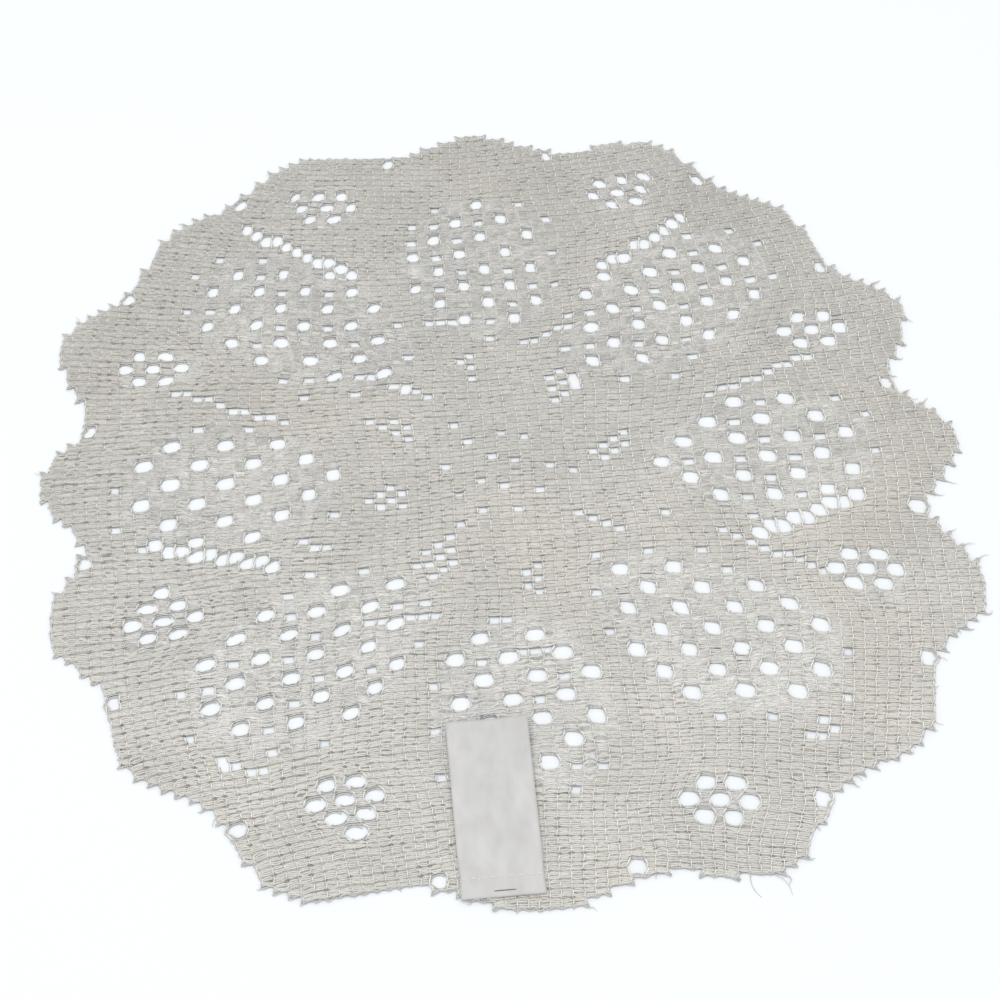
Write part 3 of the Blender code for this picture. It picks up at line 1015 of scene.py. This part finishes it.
class DoilyStage(bpy.types.PropertyGroup):
    """Camera, lights and floor."""

    distance: length_setting("Distance", "From the camera to what it looks at", 0.735)
    pitch: angle_setting("Pitch", "How far down the camera looks", 53)
    turn: angle_setting("Turn", "Turn of the camera about the doily", -4.5)
    lens: bpy.props.FloatProperty(name="Lens", description="Focal length in millimetres", default=80.0)
    floor_size: length_setting("Floor", "Side of the floor", 6.0)
    floor: colour_setting("Floor colour", "Pale floor", (0.715, 0.742, 0.765))
    sky: bpy.props.FloatProperty(name="Sky", description="Strength of the even light", default=1.0)
    key_energy: bpy.props.FloatProperty(name="Softbox", description="Power of the softbox", default=12.0)
    key_size: length_setting("Softbox size", "Side of the softbox", 1.4)


# Pieces


def beside_wales(cells):
    """A value of the cells on both sides of each wale, from 0 to 1."""
    padded = np.pad(cells.astype(float), ((1, 1), (0, 0)))
    return (padded[1:] + padded[:-1]) / 2


def uneven(net):
    """How unevenly the bunches of each cell lie, in slow patches."""
    x, y = net.x[1:, 1:], net.y[1:, 1:]
    first, second = (2 * math.pi / length for length in PATCH_LENGTHS)
    patches = 0.25 * np.sin(first * (x + PATCH_SLANTS[0] * y) + PATCH_STARTS[0])
    patches += 0.25 * np.sin(second * (y + PATCH_SLANTS[1] * x) + PATCH_STARTS[1])
    return UNEVENNESS[0] + (UNEVENNESS[1] - UNEVENNESS[0]) * (0.5 + patches)


def open_to_the_left(x):
    """How much of the net shows at a place: from 0 at the right side of the doily to 1 at its left side."""
    return np.clip(0.5 - OPENNESS_CHANGES * x / EDGE_RADIUS, 0, 1)


def towards(angle):
    return np.array([math.cos(angle), math.sin(angle)])


Bunches = namedtuple("Bunches", "looseness pinches shifts slants tightness tones")


def draw_bunches(net, rng):
    """How the two bunches lie in every cell, and how far each is pinched at every wale."""
    bunches = (len(BUNCH_MIDDLES), *net.ladder.shape)
    loose = rng.random(net.ladder.shape) < net.ladder
    looseness = np.where(loose, rng.uniform(*LADDER_LOOSENESS, net.ladder.shape), 1.0)
    pinches = 1 - FILL_PINCH * rng.random((len(BUNCH_MIDDLES), *net.x[:, 1:].shape))
    unevenness = uneven(net) * np.where(net.sheer, PETALS_LOOSER, 1.0)
    shifts = rng.normal(0, BUNCH_SHIFT, bunches) * unevenness
    slants = rng.normal(0, BUNCH_SLANT, bunches) * unevenness
    tightness = 1 - BUNCH_TIGHTER * rng.random(bunches) * unevenness
    tones = rng.normal(0, BUNCH_TONE, bunches) * np.where(net.sheer, PETALS_MOTTLED, 1.0)
    tones += rng.normal(0, PETAL_CELL_TONE, net.sheer.shape) * net.sheer + LADDER_PALER * net.ladder
    return Bunches(looseness, pinches, shifts, slants, tightness, tones)


ThreadLines = namedtuple("ThreadLines", "wale_x wale_y cell_x cell_y middle_y moved slanted")


def thread_lines(net, bunches, thread):
    """Where one of a row's threads crosses every wale and passes every cell, before its small wanders."""
    bunch, middle = thread.bunch, BUNCH_MIDDLES[thread.bunch]
    from_middle = thread.place - middle
    gathered = GATHERED_AT_WALES * open_to_the_left(net.x[:, 1:]) * (1 - beside_wales(net.sheer))
    at_wales = middle + (0.5 - middle) * gathered + from_middle * bunches.pinches[bunch]
    netlike = open_to_the_left(net.x[1:, 1:]) * ~net.sheer
    to_centre = (0.5 - thread.place) * ROW_LINES_OPEN * netlike
    row_height = np.diff(net.y, axis=1)[1:] * (1 - net.ladder)
    shift = bunches.shifts[bunch] + (bunches.tightness[bunch] - 1) * from_middle + to_centre
    return ThreadLines(
        up_the_row(net.x, at_wales),
        up_the_row(net.y, at_wales),
        up_the_row(net.x, thread.place),
        up_the_row(net.y, thread.place),
        up_the_row(net.y, 0.5),
        row_height * shift,
        row_height * bunches.slants[bunch],
    )


def part_way(line, cells, row, across):
    """A coordinate part of the way across each of a run of cells."""
    first, last = cells
    sides = np.stack([line[first : last + 1, row], line[first + 1 : last + 2, row]])
    return np.array([1 - across, across]) @ sides


def fill_path(lines, looseness, cells, row, rng):
    """A thread's way through a run of cells: a point at each wale and two in each cell."""
    first, last = cells
    at_wales, in_cells = slice(first, last + 2), slice(first, last + 1)
    path = np.zeros((3 * (last - first + 1) + 1, 3))
    path[::3, 0] = lines.wale_x[at_wales, row]
    path[::3, 1] = lines.wale_y[at_wales, row]
    path[::3, 2] = -FILL_DIP
    for step, across in enumerate(FILL_ACROSS, 1):
        centre = part_way(lines.middle_y, cells, row, across)
        spread = part_way(lines.cell_y, cells, row, across) - centre
        path[step::3, 0] = part_way(lines.cell_x, cells, row, across)
        path[step::3, 1] = centre + spread * looseness[in_cells, row]
        path[step::3, 1] += lines.moved[in_cells, row] + (across - 0.5) * lines.slanted[in_cells, row]
        path[step::3, 2] = FILL_CROWN
    path[::3, 0] += rng.normal(0, FILL_ENDS_WANDER, len(path[::3]))
    path[0, 0] -= FILL_TUCK
    path[-1, 0] += FILL_TUCK
    path[:, 1] += rng.normal(0, ACROSS_WANDER, len(path))
    path[:, 2] += rng.normal(0, FILL_RISE_WANDER, len(path))
    path[:, 2] += MIDDLE_HEIGHT + lie(path[:, 0], path[:, 1])
    return path


def along_fill(at_wales, in_cells):
    """A value for each point of a fill path, from its values at the wales and in the cells."""
    values = np.empty(3 * len(in_cells) + 1)
    values[::3] = at_wales
    values[1::3] = values[2::3] = in_cells
    return values


def add_fill_thread(strands, settings, net, path, tones, cells, row, rng):
    """The tube round a fill path, thinner and cooler in the petals and palest on the near side, where light
    is painted on.
    """
    first, last = cells
    in_cells = slice(first, last + 1)
    sheer = along_fill(beside_wales(net.sheer)[first : last + 2, row], net.sheer[in_cells, row])
    ladder = along_fill(0.0, net.ladder[in_cells, row])
    # Painted shade at the wales and a painted highlight on the middle threads, through their tones.
    tone = along_fill(FILL_SHADE_AT_WALE, tones[in_cells, row])
    width = settings.fill_width + (settings.sheer_width - settings.fill_width) * sheer
    width += (settings.ladder_width - settings.sheer_width) * ladder
    width *= rng.uniform(*FILL_WIDTHS, len(path))
    width[::3] *= FILL_NARROWER_AT_WALE
    # Painted light: the tone grows paler towards the near side, for how the light falls across the cloth.
    painted_light = path[:, :2] @ towards(PAINTED_LIGHT_TOWARDS) / EDGE_RADIUS
    tone += rng.normal(0, FILL_TONE_VARIES, len(path)) + np.where(painted_light > 0, PAINTED_LIGHT_NEAR, PAINTED_LIGHT_FAR) * painted_light
    strands.add(path, width / 2, np.clip(tone, 0, 1), sheer, FILL_FLAT)


def add_fill(settings, net):
    """The threads that run along each row and fill its cells, in bands of rows with like numbers of cells."""
    rng = np.random.default_rng(settings.seed)
    material = yarn_material(
        "Fill yarn", ALONG_ROWS, settings.light, settings.dark, settings.sheer, settings.sheer_dark
    )
    bunches = draw_bunches(net, rng)
    lines = {thread: thread_lines(net, bunches, thread) for thread in FILL_THREADS}
    share_below = np.cumsum(net.filled.sum(axis=0)) / net.filled.sum()
    bands = np.minimum((share_below * FILL_BANDS).astype(int), FILL_BANDS - 1)
    for number in range(FILL_BANDS):
        band = np.flatnonzero(bands == number)
        strands = Strands()
        for thread in FILL_THREADS:
            tones = thread.tone + bunches.tones[thread.bunch]
            for row in band:
                for cells in runs(net.filled[:, row]):
                    path = fill_path(lines[thread], bunches.looseness, cells, row, rng)
                    add_fill_thread(strands, settings, net, path, tones, cells, row, rng)
        add_rims(strands, settings, net, band, rng)
        settle(strands.make(f"fill_threads_{number + 1}", material))


def add_rims(strands, settings, net, band, rng):
    """The threads along the foot and the head of each tall opening, which round its corners."""
    across = np.array(RIM_PLACES)
    towards_corner = (2 * across - 1) ** RIM_SQUARENESS
    for gap, row in zip(*np.nonzero(net.tall)):
        if row not in band:
            continue
        for line, way in ((row, 1), (row + 2, -1)):
            ends = np.array([[net.x[side, line], net.y[side, line]] for side in (gap, gap + 1)])
            chord = ends[0] + across[:, None] * (ends[1] - ends[0])
            left, up = -ends[0, 0], ends[0, 1]
            more = 1 + RIM_MORE_ABOVE * max(up, 0) + RIM_MORE_AT_LEFT_CORNERS * max(left, 0) * abs(up)
            for rim in RIMS:
                path = np.column_stack([chord, rim.height + lie(chord[:, 0], chord[:, 1])])
                inward = (rim.inset + rim.rounds * towards_corner) * min(more, RIM_MOST)
                path[:, 1] += way * inward + rng.normal(0, ACROSS_WANDER, len(path))
                strands.add(path, settings.rim_width / 2, rng.uniform(*RIM_TONES), 1.0, FILL_FLAT)


def wale_path(net, lines, wale, first, last):
    """The middle line of a wale through a run of cells, which starts over with a slant in each row."""
    path = np.zeros((WALE_STEPS * (last - first + 1) + 1, 3))
    for step, (line_x, line_y) in enumerate(lines):
        slant = WALE_SLANT * ((2 * step + 1) / WALE_STEPS - 1)
        path[step:-1:WALE_STEPS, 0] = line_x[wale, first : last + 1] + slant
        path[step:-1:WALE_STEPS, 1] = line_y[wale, first : last + 1]
    path[-1, :2] = net.x[wale, last + 1], net.y[wale, last + 1]
    return path


def add_wale(strands, settings, path, thin, stout, rng):
    """The two strands of a stretch of wale. Thin is 1 in the petals, and stout multiplies the width."""
    # Painted light: the tone grows paler towards the lower right as the light falls there, and the same share
    # raises the strand.
    pale = 0.5 + WALE_PALENESS_CHANGES * (path[:, :2] @ towards(WALE_PALER_TOWARDS)) / EDGE_RADIUS
    pale = np.clip(pale, 0, 1)
    bead = -np.cos(2 * math.pi * np.arange(len(path)) / WALE_STEPS)
    over = path.copy()
    over[:, 0] += rng.normal(0, WALE_WANDER, len(path))
    over[:, 2] = WALE_OVER + lie(over[:, 0], over[:, 1]) + rng.normal(0, WALE_RISE_WANDER, len(path))
    over[:, 2] += WALE_STANDS * pale + WALE_BEADS * bead
    width = settings.wale_width * stout * rng.uniform(*WALE_WIDTHS, len(path))
    width *= np.interp(bead, (-1, 1), WALE_BEAD_WIDTHS)
    tone = np.interp(pale, (0, 1), WALE_TONES) + rng.normal(0, WALE_TONE_VARIES, len(path))
    tone = np.clip(tone, 0, 1)
    strands.add(over, width / 2, tone, thin * SHEER_WALES)
    under = path[::UNDER_SKIPS].copy()
    under[:, 0] += rng.normal(0, 2 * WALE_WANDER, len(under))
    wander = rng.normal(0, WALE_RISE_WANDER, len(under))
    under[:, 2] = WALE_UNDER + lie(under[:, 0], under[:, 1]) + wander
    width = settings.wale_width * stout[::UNDER_SKIPS]
    strands.add(under, width / 2, tone[::UNDER_SKIPS], thin[::UNDER_SKIPS])


def add_wales(settings, net):
    """The upright chains of stitches: one strand shows over the fill once a row and one runs under it."""
    rng = np.random.default_rng(settings.seed + 1)
    material = yarn_material(
        "Wale yarn", ALONG_WALES, settings.wale, settings.wale_dark, settings.sheer, settings.sheer_dark
    )
    beside = beside_wales(net.inside) > 0
    sheer = beside_wales(net.sheer)
    stouter = 1 + STOUTER_AT_OPENINGS * beside_wales(net.inside & ~net.filled)
    places = [step / WALE_STEPS for step in range(WALE_STEPS)]
    lines = [(up_the_row(net.x, place), up_the_row(net.y, place)) for place in places]
    used = np.flatnonzero(beside.any(axis=1))
    for name, half in zip(("wales_left", "wales_right"), np.array_split(used, 2)):
        strands = Strands()
        for wale in half:
            for first, last in runs(beside[wale]):
                path = wale_path(net, lines, wale, first, last)
                rows = slice(first, last + 1)
                thin = np.append(np.repeat(sheer[wale, rows], WALE_STEPS), 0.0)
                stout = np.append(np.repeat(stouter[wale, rows], WALE_STEPS), 1.0)
                add_wale(strands, settings, path, thin, stout, rng)
        settle(strands.make(name, material))


def add_web(settings, net):
    """The felted yarn inside the cells, as one thin sheet with the doily's openings. Its colours are painted
    shade: the yarn in shadow seen between the threads.
    """
    rng = np.random.default_rng(settings.seed + 3)
    # The web's material is painted shade: deep in the darkest gaps, inner between the threads.
    material = yarn_material(
        "Deep yarn", ALONG_ROWS, settings.inner, settings.deep, settings.sheer_inner, settings.sheer_deep
    )
    slit = rng.random(net.ladder.shape) < SLIT_SHARE * net.ladder
    lines = [(up_the_row(net.x, place), up_the_row(net.y, place)) for place in WEB_PLACES]
    height = MIDDLE_HEIGHT - settings.web_thickness / 2
    numbers = {}
    points, tones, sheerness = [], [], []

    def corner(gap, row, half, level, sheer):
        """The number of a point: level counts WEB_PLACES up the row, half is 0 at a wale and 1 mid-cell."""
        if level == len(WEB_PLACES) - 1:
            row, level = row + 1, 0
        key = (gap, row, half, level)
        if key not in numbers:
            numbers[key] = len(points)
            line_x, line_y = (net.x, net.y) if level == 0 else lines[level]
            x, y = line_x[gap, row], line_y[gap, row]
            if half:
                x, y = (x + line_x[gap + 1, row]) / 2, (y + line_y[gap + 1, row]) / 2
            points.append((x, y, height + lie(x, y)))
            # Painted shadows: some points take the deepest colour, as dark spots where shade falls in the
            # gaps.
            shadow_shares = WEB_SHADOWS_IN_CELLS if half else WEB_SHADOWS_AT_WALES
            shadow_share = np.interp(open_to_the_left(x), (0, 1), shadow_shares)
            shadow_share *= MORE_SHADOWS_IN_PETALS if sheer else 1.0
            tones.append(0.0 if rng.random() < shadow_share else WEB_SHADE_TONES[level])
            sheerness.append(sheer)
        return numbers[key]

    faces = []
    for gap, row in zip(*np.nonzero(net.filled)):
        sheer = bool(net.sheer[gap, row])
        below, above = MIDDLE_OF_CELL if slit[gap, row] else WHOLE_CELL
        for left, right in (((gap, 0), (gap, 1)), ((gap, 1), (gap + 1, 0))):
            ends = ((left, below), (right, below), (right, above), (left, above))
            faces.append([corner(wale, row, half, level, sheer) for (wale, half), level in ends])
    web = make_piece("lace_web", np.array(points), faces, material)
    add_values(web, "tone", np.array(tones))
    add_values(web, "sheer", np.array(sheerness, float))
    thicken(web, settings.web_thickness)
    return settle(web)


def smooth_ring(points, steps):
    """A closed curve through points, with steps to each."""
    before, after = np.roll(points, 1, axis=0), np.roll(points, -1, axis=0)
    slope = (after - before) / 2
    slope_after = np.roll(slope, -1, axis=0)
    out = [on_curve(t, points, slope, after, slope_after) for t in np.arange(steps) / steps]
    return np.stack(out, axis=1).reshape(-1, points.shape[1])


def edge_line(net):
    """The edge yarn's route: drawn out to a point at the corners and hollow between them."""
    at = np.stack([net.x[net.edge], net.y[net.edge]], axis=1)
    out = np.array([EDGE_OUT[int(cells)] for cells in net.edge_cells])
    corners = at + net.edge_out * out[:, None]
    following = np.roll(at, -1, axis=0)
    step = following - at
    outward = np.stack([step[:, 1], -step[:, 0]], axis=1) / np.hypot(*step.T)[:, None]
    between = (at + following) / 2 - outward * EDGE_HOLLOW
    return np.stack([corners, between], axis=1).reshape(-1, 2), corners


def add_edge(settings, net):
    """The yarn round the edge, the tufts at its corners and the loose ends."""
    rng = np.random.default_rng(settings.seed + 2)
    material = yarn_material(
        "Edge yarn", ANY_WAY, settings.light, settings.dark, settings.sheer, settings.sheer_dark
    )
    strands = Strands(EDGE_SIDES)
    route, corners = edge_line(net)
    for strand in range(EDGE_STRANDS):
        wander = rng.normal(0, EDGE_WANDER, route.shape)
        inward = 1 - strand * EDGE_STRANDS_APART
        line = smooth_ring((route + wander) * inward, EDGE_STEPS)
        height = MIDDLE_HEIGHT + rng.normal(0, EDGE_RISE_WANDER, len(line)) + lie(line[:, 0], line[:, 1])
        path = np.column_stack([line, height])
        radius = settings.edge_width * rng.uniform(*EDGE_WIDTHS, len(path)) / 2
        strands.add(np.vstack([path, path[:1]]), np.append(radius, radius[0]), EDGE_TONE, EDGE_SHEER)
    add_tufts(strands, settings, net, corners, rng)
    add_hairs(strands, settings, net, rng)
    settle(strands.make("edge_yarn", material))


def add_tufts(strands, settings, net, corners, rng):
    """Points of frayed yarn round the edge, longest at the lower right."""
    for place, out, cells in zip(corners, net.edge_out, net.edge_cells):
        turn = math.atan2(place[1], place[0])
        thorny = max(0.0, math.cos(turn - THORNY_TURN))
        pointed = cells == 1
        chance = TUFT_CHANCE + TUFT_CHANCE_THORNY * thorny if pointed else TUFT_CHANCE_ELSEWHERE
        if rng.random() > chance:
            continue
        length = TUFT_SHORTEST + (TUFT_LONGER + TUFT_THORNS * thorny) * rng.random() ** 2
        length *= 1.0 if pointed else TUFT_SHORTER_ELSEWHERE
        heading = math.atan2(out[1] * rng.uniform(*TUFT_SIDEWAYS), out[0]) + rng.normal(0, TUFT_TURNS)
        t = np.linspace(TUFT_ROOT, 1, TUFT_STEPS)
        bent = heading + rng.normal(0, TUFT_BENDS) * t**2
        way = np.stack([np.cos(bent), np.sin(bent)], axis=1)
        line = place + way * t[:, None] * length
        height = MIDDLE_HEIGHT * (1 - TUFT_DROOPS * np.clip(t, 0, 1)) + lie(line[:, 0], line[:, 1])
        radius = settings.edge_width * rng.uniform(*TUFT_WIDTHS) * np.interp(t, *TUFT_TAPER)
        strands.add(np.column_stack([line, height]), radius, rng.uniform(*TUFT_TONES), EDGE_SHEER)


def add_hairs(strands, settings, net, rng):
    """The loose ends: each leaves the edge at a turn round the doily and bends on its way."""
    at = np.stack([net.x[net.edge], net.y[net.edge]], axis=1)
    around = np.degrees(np.arctan2(at[:, 1], at[:, 0]))
    for hair in HAIRS:
        turned_by = np.abs((around - hair.turn + 180) % 360 - 180)
        start = at[np.argmin(turned_by)]
        t = np.linspace(0, 1, HAIR_STEPS)
        heading = np.radians(hair.heading + hair.bend * t)
        step = hair.length / (HAIR_STEPS - 1)
        line = start + np.cumsum(np.stack([np.cos(heading), np.sin(heading)], axis=1) * step, axis=0)
        width = settings.hair_width * (1 - HAIR_TAPER * t)
        height = MIDDLE_HEIGHT * (1 - HAIR_DROOPS * t) + HAIR_RISES * np.sin(HAIR_WAVES * t)
        path = np.column_stack([line, np.maximum(height, width)])
        strands.add(path, width / 2, rng.uniform(*HAIR_TONES), HAIR_SHEER)


def label_frame(middle):
    """The middle of the label in the doily's frame, and the ways across and along it."""
    across, along = towards(LABEL_TURN), towards(LABEL_TURN + math.pi / 2)
    return np.array(LABEL_CENTRE) - middle, across, along


def near_seam(along, width):
    """1 at the seam, fading to nothing over a width on both sides of it."""
    return np.exp(-(((along - SEAM_PLACE) / width) ** 2))


def label_height(across, along):
    """Height of the tape's underside: held down at its seam, lifting towards its free end and right edge."""
    aside, up = across / LABEL_WIDTH, along / LABEL_LENGTH
    lift = LABEL_LIFT * up**3 + LABEL_BELLY * np.sin(math.pi * up) ** 2
    cockle = COCKLE * np.sin(across / COCKLE_LENGTH + COCKLE_TURNS * up)
    cockle *= COCKLE_AT_SEWN_END + (1 - COCKLE_AT_SEWN_END) * up
    crease = np.interp(aside + up, (CREASE_STARTS, 1.5), (0, CORNER_CREASE))
    lip = np.interp(aside, (LIP_STARTS, 0.5), (0, EDGE_LIP)) * np.interp(up, LIP_RISES, (0, 1))
    return LABEL_HEIGHT + lift + cockle + crease + lip - SEAM_DIP * near_seam(along, SEAM_DIP_WIDTH)


def on_label(middle, across, along, above):
    """A point a height above the tape's underside."""
    centre, side, length = label_frame(middle)
    flat = centre + np.outer(across, side) + np.outer(along - LABEL_LENGTH / 2, length)
    return np.column_stack([flat, label_height(np.asarray(across), np.asarray(along)) + above])


def add_label(settings, middle):
    """The satin tape, with its slight cockle, its seam and a turned corner."""
    across = np.linspace(-0.5, 0.5, LABEL_COLUMNS + 1)
    along = np.linspace(0, 1, LABEL_RUNS + 1)
    wide, long = (grid.ravel() for grid in np.meshgrid(across, along, indexing="ij"))
    waist = 1 - SEAM_DRAWS_IN * near_seam(long * LABEL_LENGTH, SEAM_DRAWS_WIDTH)
    points = on_label(middle, wide * LABEL_WIDTH * waist, long * LABEL_LENGTH, 0.0)
    number = np.arange(len(points)).reshape(LABEL_COLUMNS + 1, LABEL_RUNS + 1)
    faces = np.stack([number[:-1, :-1], number[1:, :-1], number[1:, 1:], number[:-1, 1:]], axis=-1)
    material = tape_material("Satin tape", settings.tape)
    tape = make_piece("label_tape", points, faces.reshape(-1, 4).tolist(), material)
    thicken(tape, settings.thickness)
    settle(tape)
    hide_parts("label")
    return tape


def sewn_thread(middle, centre, along, length, steps, rise, sink):
    """A thread across the label, a rise above its underside and sinking into it at both ends."""
    t = np.linspace(-1, 1, steps)
    return on_label(middle, centre + t * length / 2, np.full(steps, along), rise - sink * t**4)


def add_stitches(settings, middle):
    """The sewing thread across the label, and the dark tack at its end."""
    stitches = Strands(SEWING_SIDES)
    pitch = LABEL_WIDTH / SEAM_STITCHES
    rise = settings.thickness + STITCH_RISE * settings.stitch_width
    sink = STITCH_SINK * settings.stitch_width
    for stitch in range(SEAM_STITCHES):
        centre = (stitch + 0.5) * pitch - LABEL_WIDTH / 2
        path = sewn_thread(middle, centre, SEAM_PLACE, STITCH_SHARE * pitch, STITCH_STEPS, rise, sink)
        stitches.add(path, settings.stitch_width / 2)
    seam = settle(stitches.make("label_stitches", plain_thread("Sewing thread", settings.stitch)))
    tack = Strands(SEWING_SIDES)
    rise = settings.thickness + TACK_RISE
    path = sewn_thread(middle, TACK_ACROSS, TACK_PLACE, TACK_LENGTH, TACK_STEPS, rise, TACK_SINK)
    tack.add(path, TACK_RADIUS)
    return seam, settle(tack.make("label_tack", plain_thread("Dark thread", settings.tack)))


def aim(light, target):
    """Turn an object so that it looks at a point."""
    way = np.array(target) - np.array(light.location)
    light.rotation_euler = (math.acos(-way[2] / np.linalg.norm(way)), 0.0, math.atan2(-way[0], way[1]))


def add_stage(settings, middle):
    """A pale floor, a white sky, one large softbox and the camera."""
    half = settings.floor_size / 2
    points = [(-half, -half, 0.0), (half, -half, 0.0), (half, half, 0.0), (-half, half, 0.0)]
    material = floor_material("Pale floor", settings.floor)
    floor = place_in_scene("floor", make_mesh("floor", points, [(0, 1, 2, 3)], material))

    world = bpy.data.worlds.new("Studio")
    world.use_nodes = True
    sky = world.node_tree.nodes["Background"]
    sky.inputs["Color"].default_value = WHITE
    sky.inputs["Strength"].default_value = settings.sky
    bpy.context.scene.world = world

    softbox = bpy.data.lights.new("Softbox", "AREA")
    softbox.energy = settings.key_energy
    softbox.size = settings.key_size
    lamp = place_in_scene("Softbox", softbox)
    lamp.location = SOFTBOX_PLACE
    aim(lamp, (0.0, 0.0, 0.0))

    lens = bpy.data.cameras.new("Camera")
    lens.lens = settings.lens
    lens.sensor_width = SENSOR
    camera = place_in_scene("Camera", lens)
    target = np.array([*(np.array(CAMERA_TARGET) - middle), 0.0])
    level = settings.distance * math.cos(settings.pitch)
    back_by = np.array([level * math.sin(settings.turn), -level * math.cos(settings.turn), 0.0])
    camera.location = target + back_by + [0.0, 0.0, settings.distance * math.sin(settings.pitch)]
    camera.rotation_euler = (math.pi / 2 - settings.pitch, 0.0, settings.turn)
    bpy.context.scene.camera = camera
    bpy.context.scene.view_settings.view_transform = "Standard"


# The add-on


class DOILY_OT_add_fill(bpy.types.Operator):
    """Add the threads that fill the cells"""

    bl_idname = "doily.add_fill"
    bl_label = "Fill threads"

    def execute(self, context):
        add_fill(context.scene.doily_yarn, doily_net())
        return {"FINISHED"}


class DOILY_OT_add_wales(bpy.types.Operator):
    """Add the chains of stitches"""

    bl_idname = "doily.add_wales"
    bl_label = "Wales"

    def execute(self, context):
        add_wales(context.scene.doily_yarn, doily_net())
        return {"FINISHED"}


class DOILY_OT_add_edge(bpy.types.Operator):
    """Add the yarn and the loose ends of the edge"""

    bl_idname = "doily.add_edge"
    bl_label = "Edge"

    def execute(self, context):
        add_edge(context.scene.doily_yarn, doily_net())
        return {"FINISHED"}


class DOILY_OT_add_web(bpy.types.Operator):
    """Add the sheet of felted yarn, which carries the threads and is coloured as painted shade"""

    bl_idname = "doily.add_web"
    bl_label = "Web"

    def execute(self, context):
        net = doily_net()
        web = add_web(context.scene.doily_yarn, net)
        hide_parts("lace")
        return {"FINISHED"}


class DOILY_OT_add_label(bpy.types.Operator):
    """Add the satin label with its sewing"""

    bl_idname = "doily.add_label"
    bl_label = "Label"

    def execute(self, context):
        settings = context.scene.doily_label
        middle = doily_net().middle
        tape = add_label(settings, middle)
        sewing = add_stitches(settings, middle)
        return {"FINISHED"}


class DOILY_OT_add_stage(bpy.types.Operator):
    """Add the floor, the lights and the camera"""

    bl_idname = "doily.add_stage"
    bl_label = "Studio"

    def execute(self, context):
        add_stage(context.scene.doily_stage, doily_net().middle)
        return {"FINISHED"}


OPERATORS = (
    DOILY_OT_add_stage,
    DOILY_OT_add_fill,
    DOILY_OT_add_wales,
    DOILY_OT_add_edge,
    DOILY_OT_add_web,
    DOILY_OT_add_label,
)


class DOILY_PT_panel(bpy.types.Panel):
    """Lists the doily's settings and pieces"""

    bl_idname = "DOILY_PT_panel"
    bl_label = "Lace doily"
    bl_space_type = "VIEW_3D"
    bl_region_type = "UI"
    bl_category = "Doily"

    def draw(self, context):
        for group in SETTINGS:
            settings = getattr(context.scene, SETTINGS[group])
            box = self.layout.box()
            for setting in group.__annotations__:
                box.prop(settings, setting)
        for operator in OPERATORS:
            self.layout.operator(operator.bl_idname)


SETTINGS = {DoilyYarn: "doily_yarn", DoilyLabel: "doily_label", DoilyStage: "doily_stage"}


def register():
    for made in (*SETTINGS, *OPERATORS, DOILY_PT_panel):
        bpy.utils.register_class(made)
    for group, name in SETTINGS.items():
        setattr(bpy.types.Scene, name, bpy.props.PointerProperty(type=group))


def unregister():
    for name in SETTINGS.values():
        delattr(bpy.types.Scene, name)
    for made in reversed((*SETTINGS, *OPERATORS, DOILY_PT_panel)):
        bpy.utils.unregister_class(made)


def main():
    register()
    for operator in OPERATORS:
        getattr(bpy.ops.doily, operator.bl_idname.split(".")[1])()


if __name__ == "__main__":
    main()
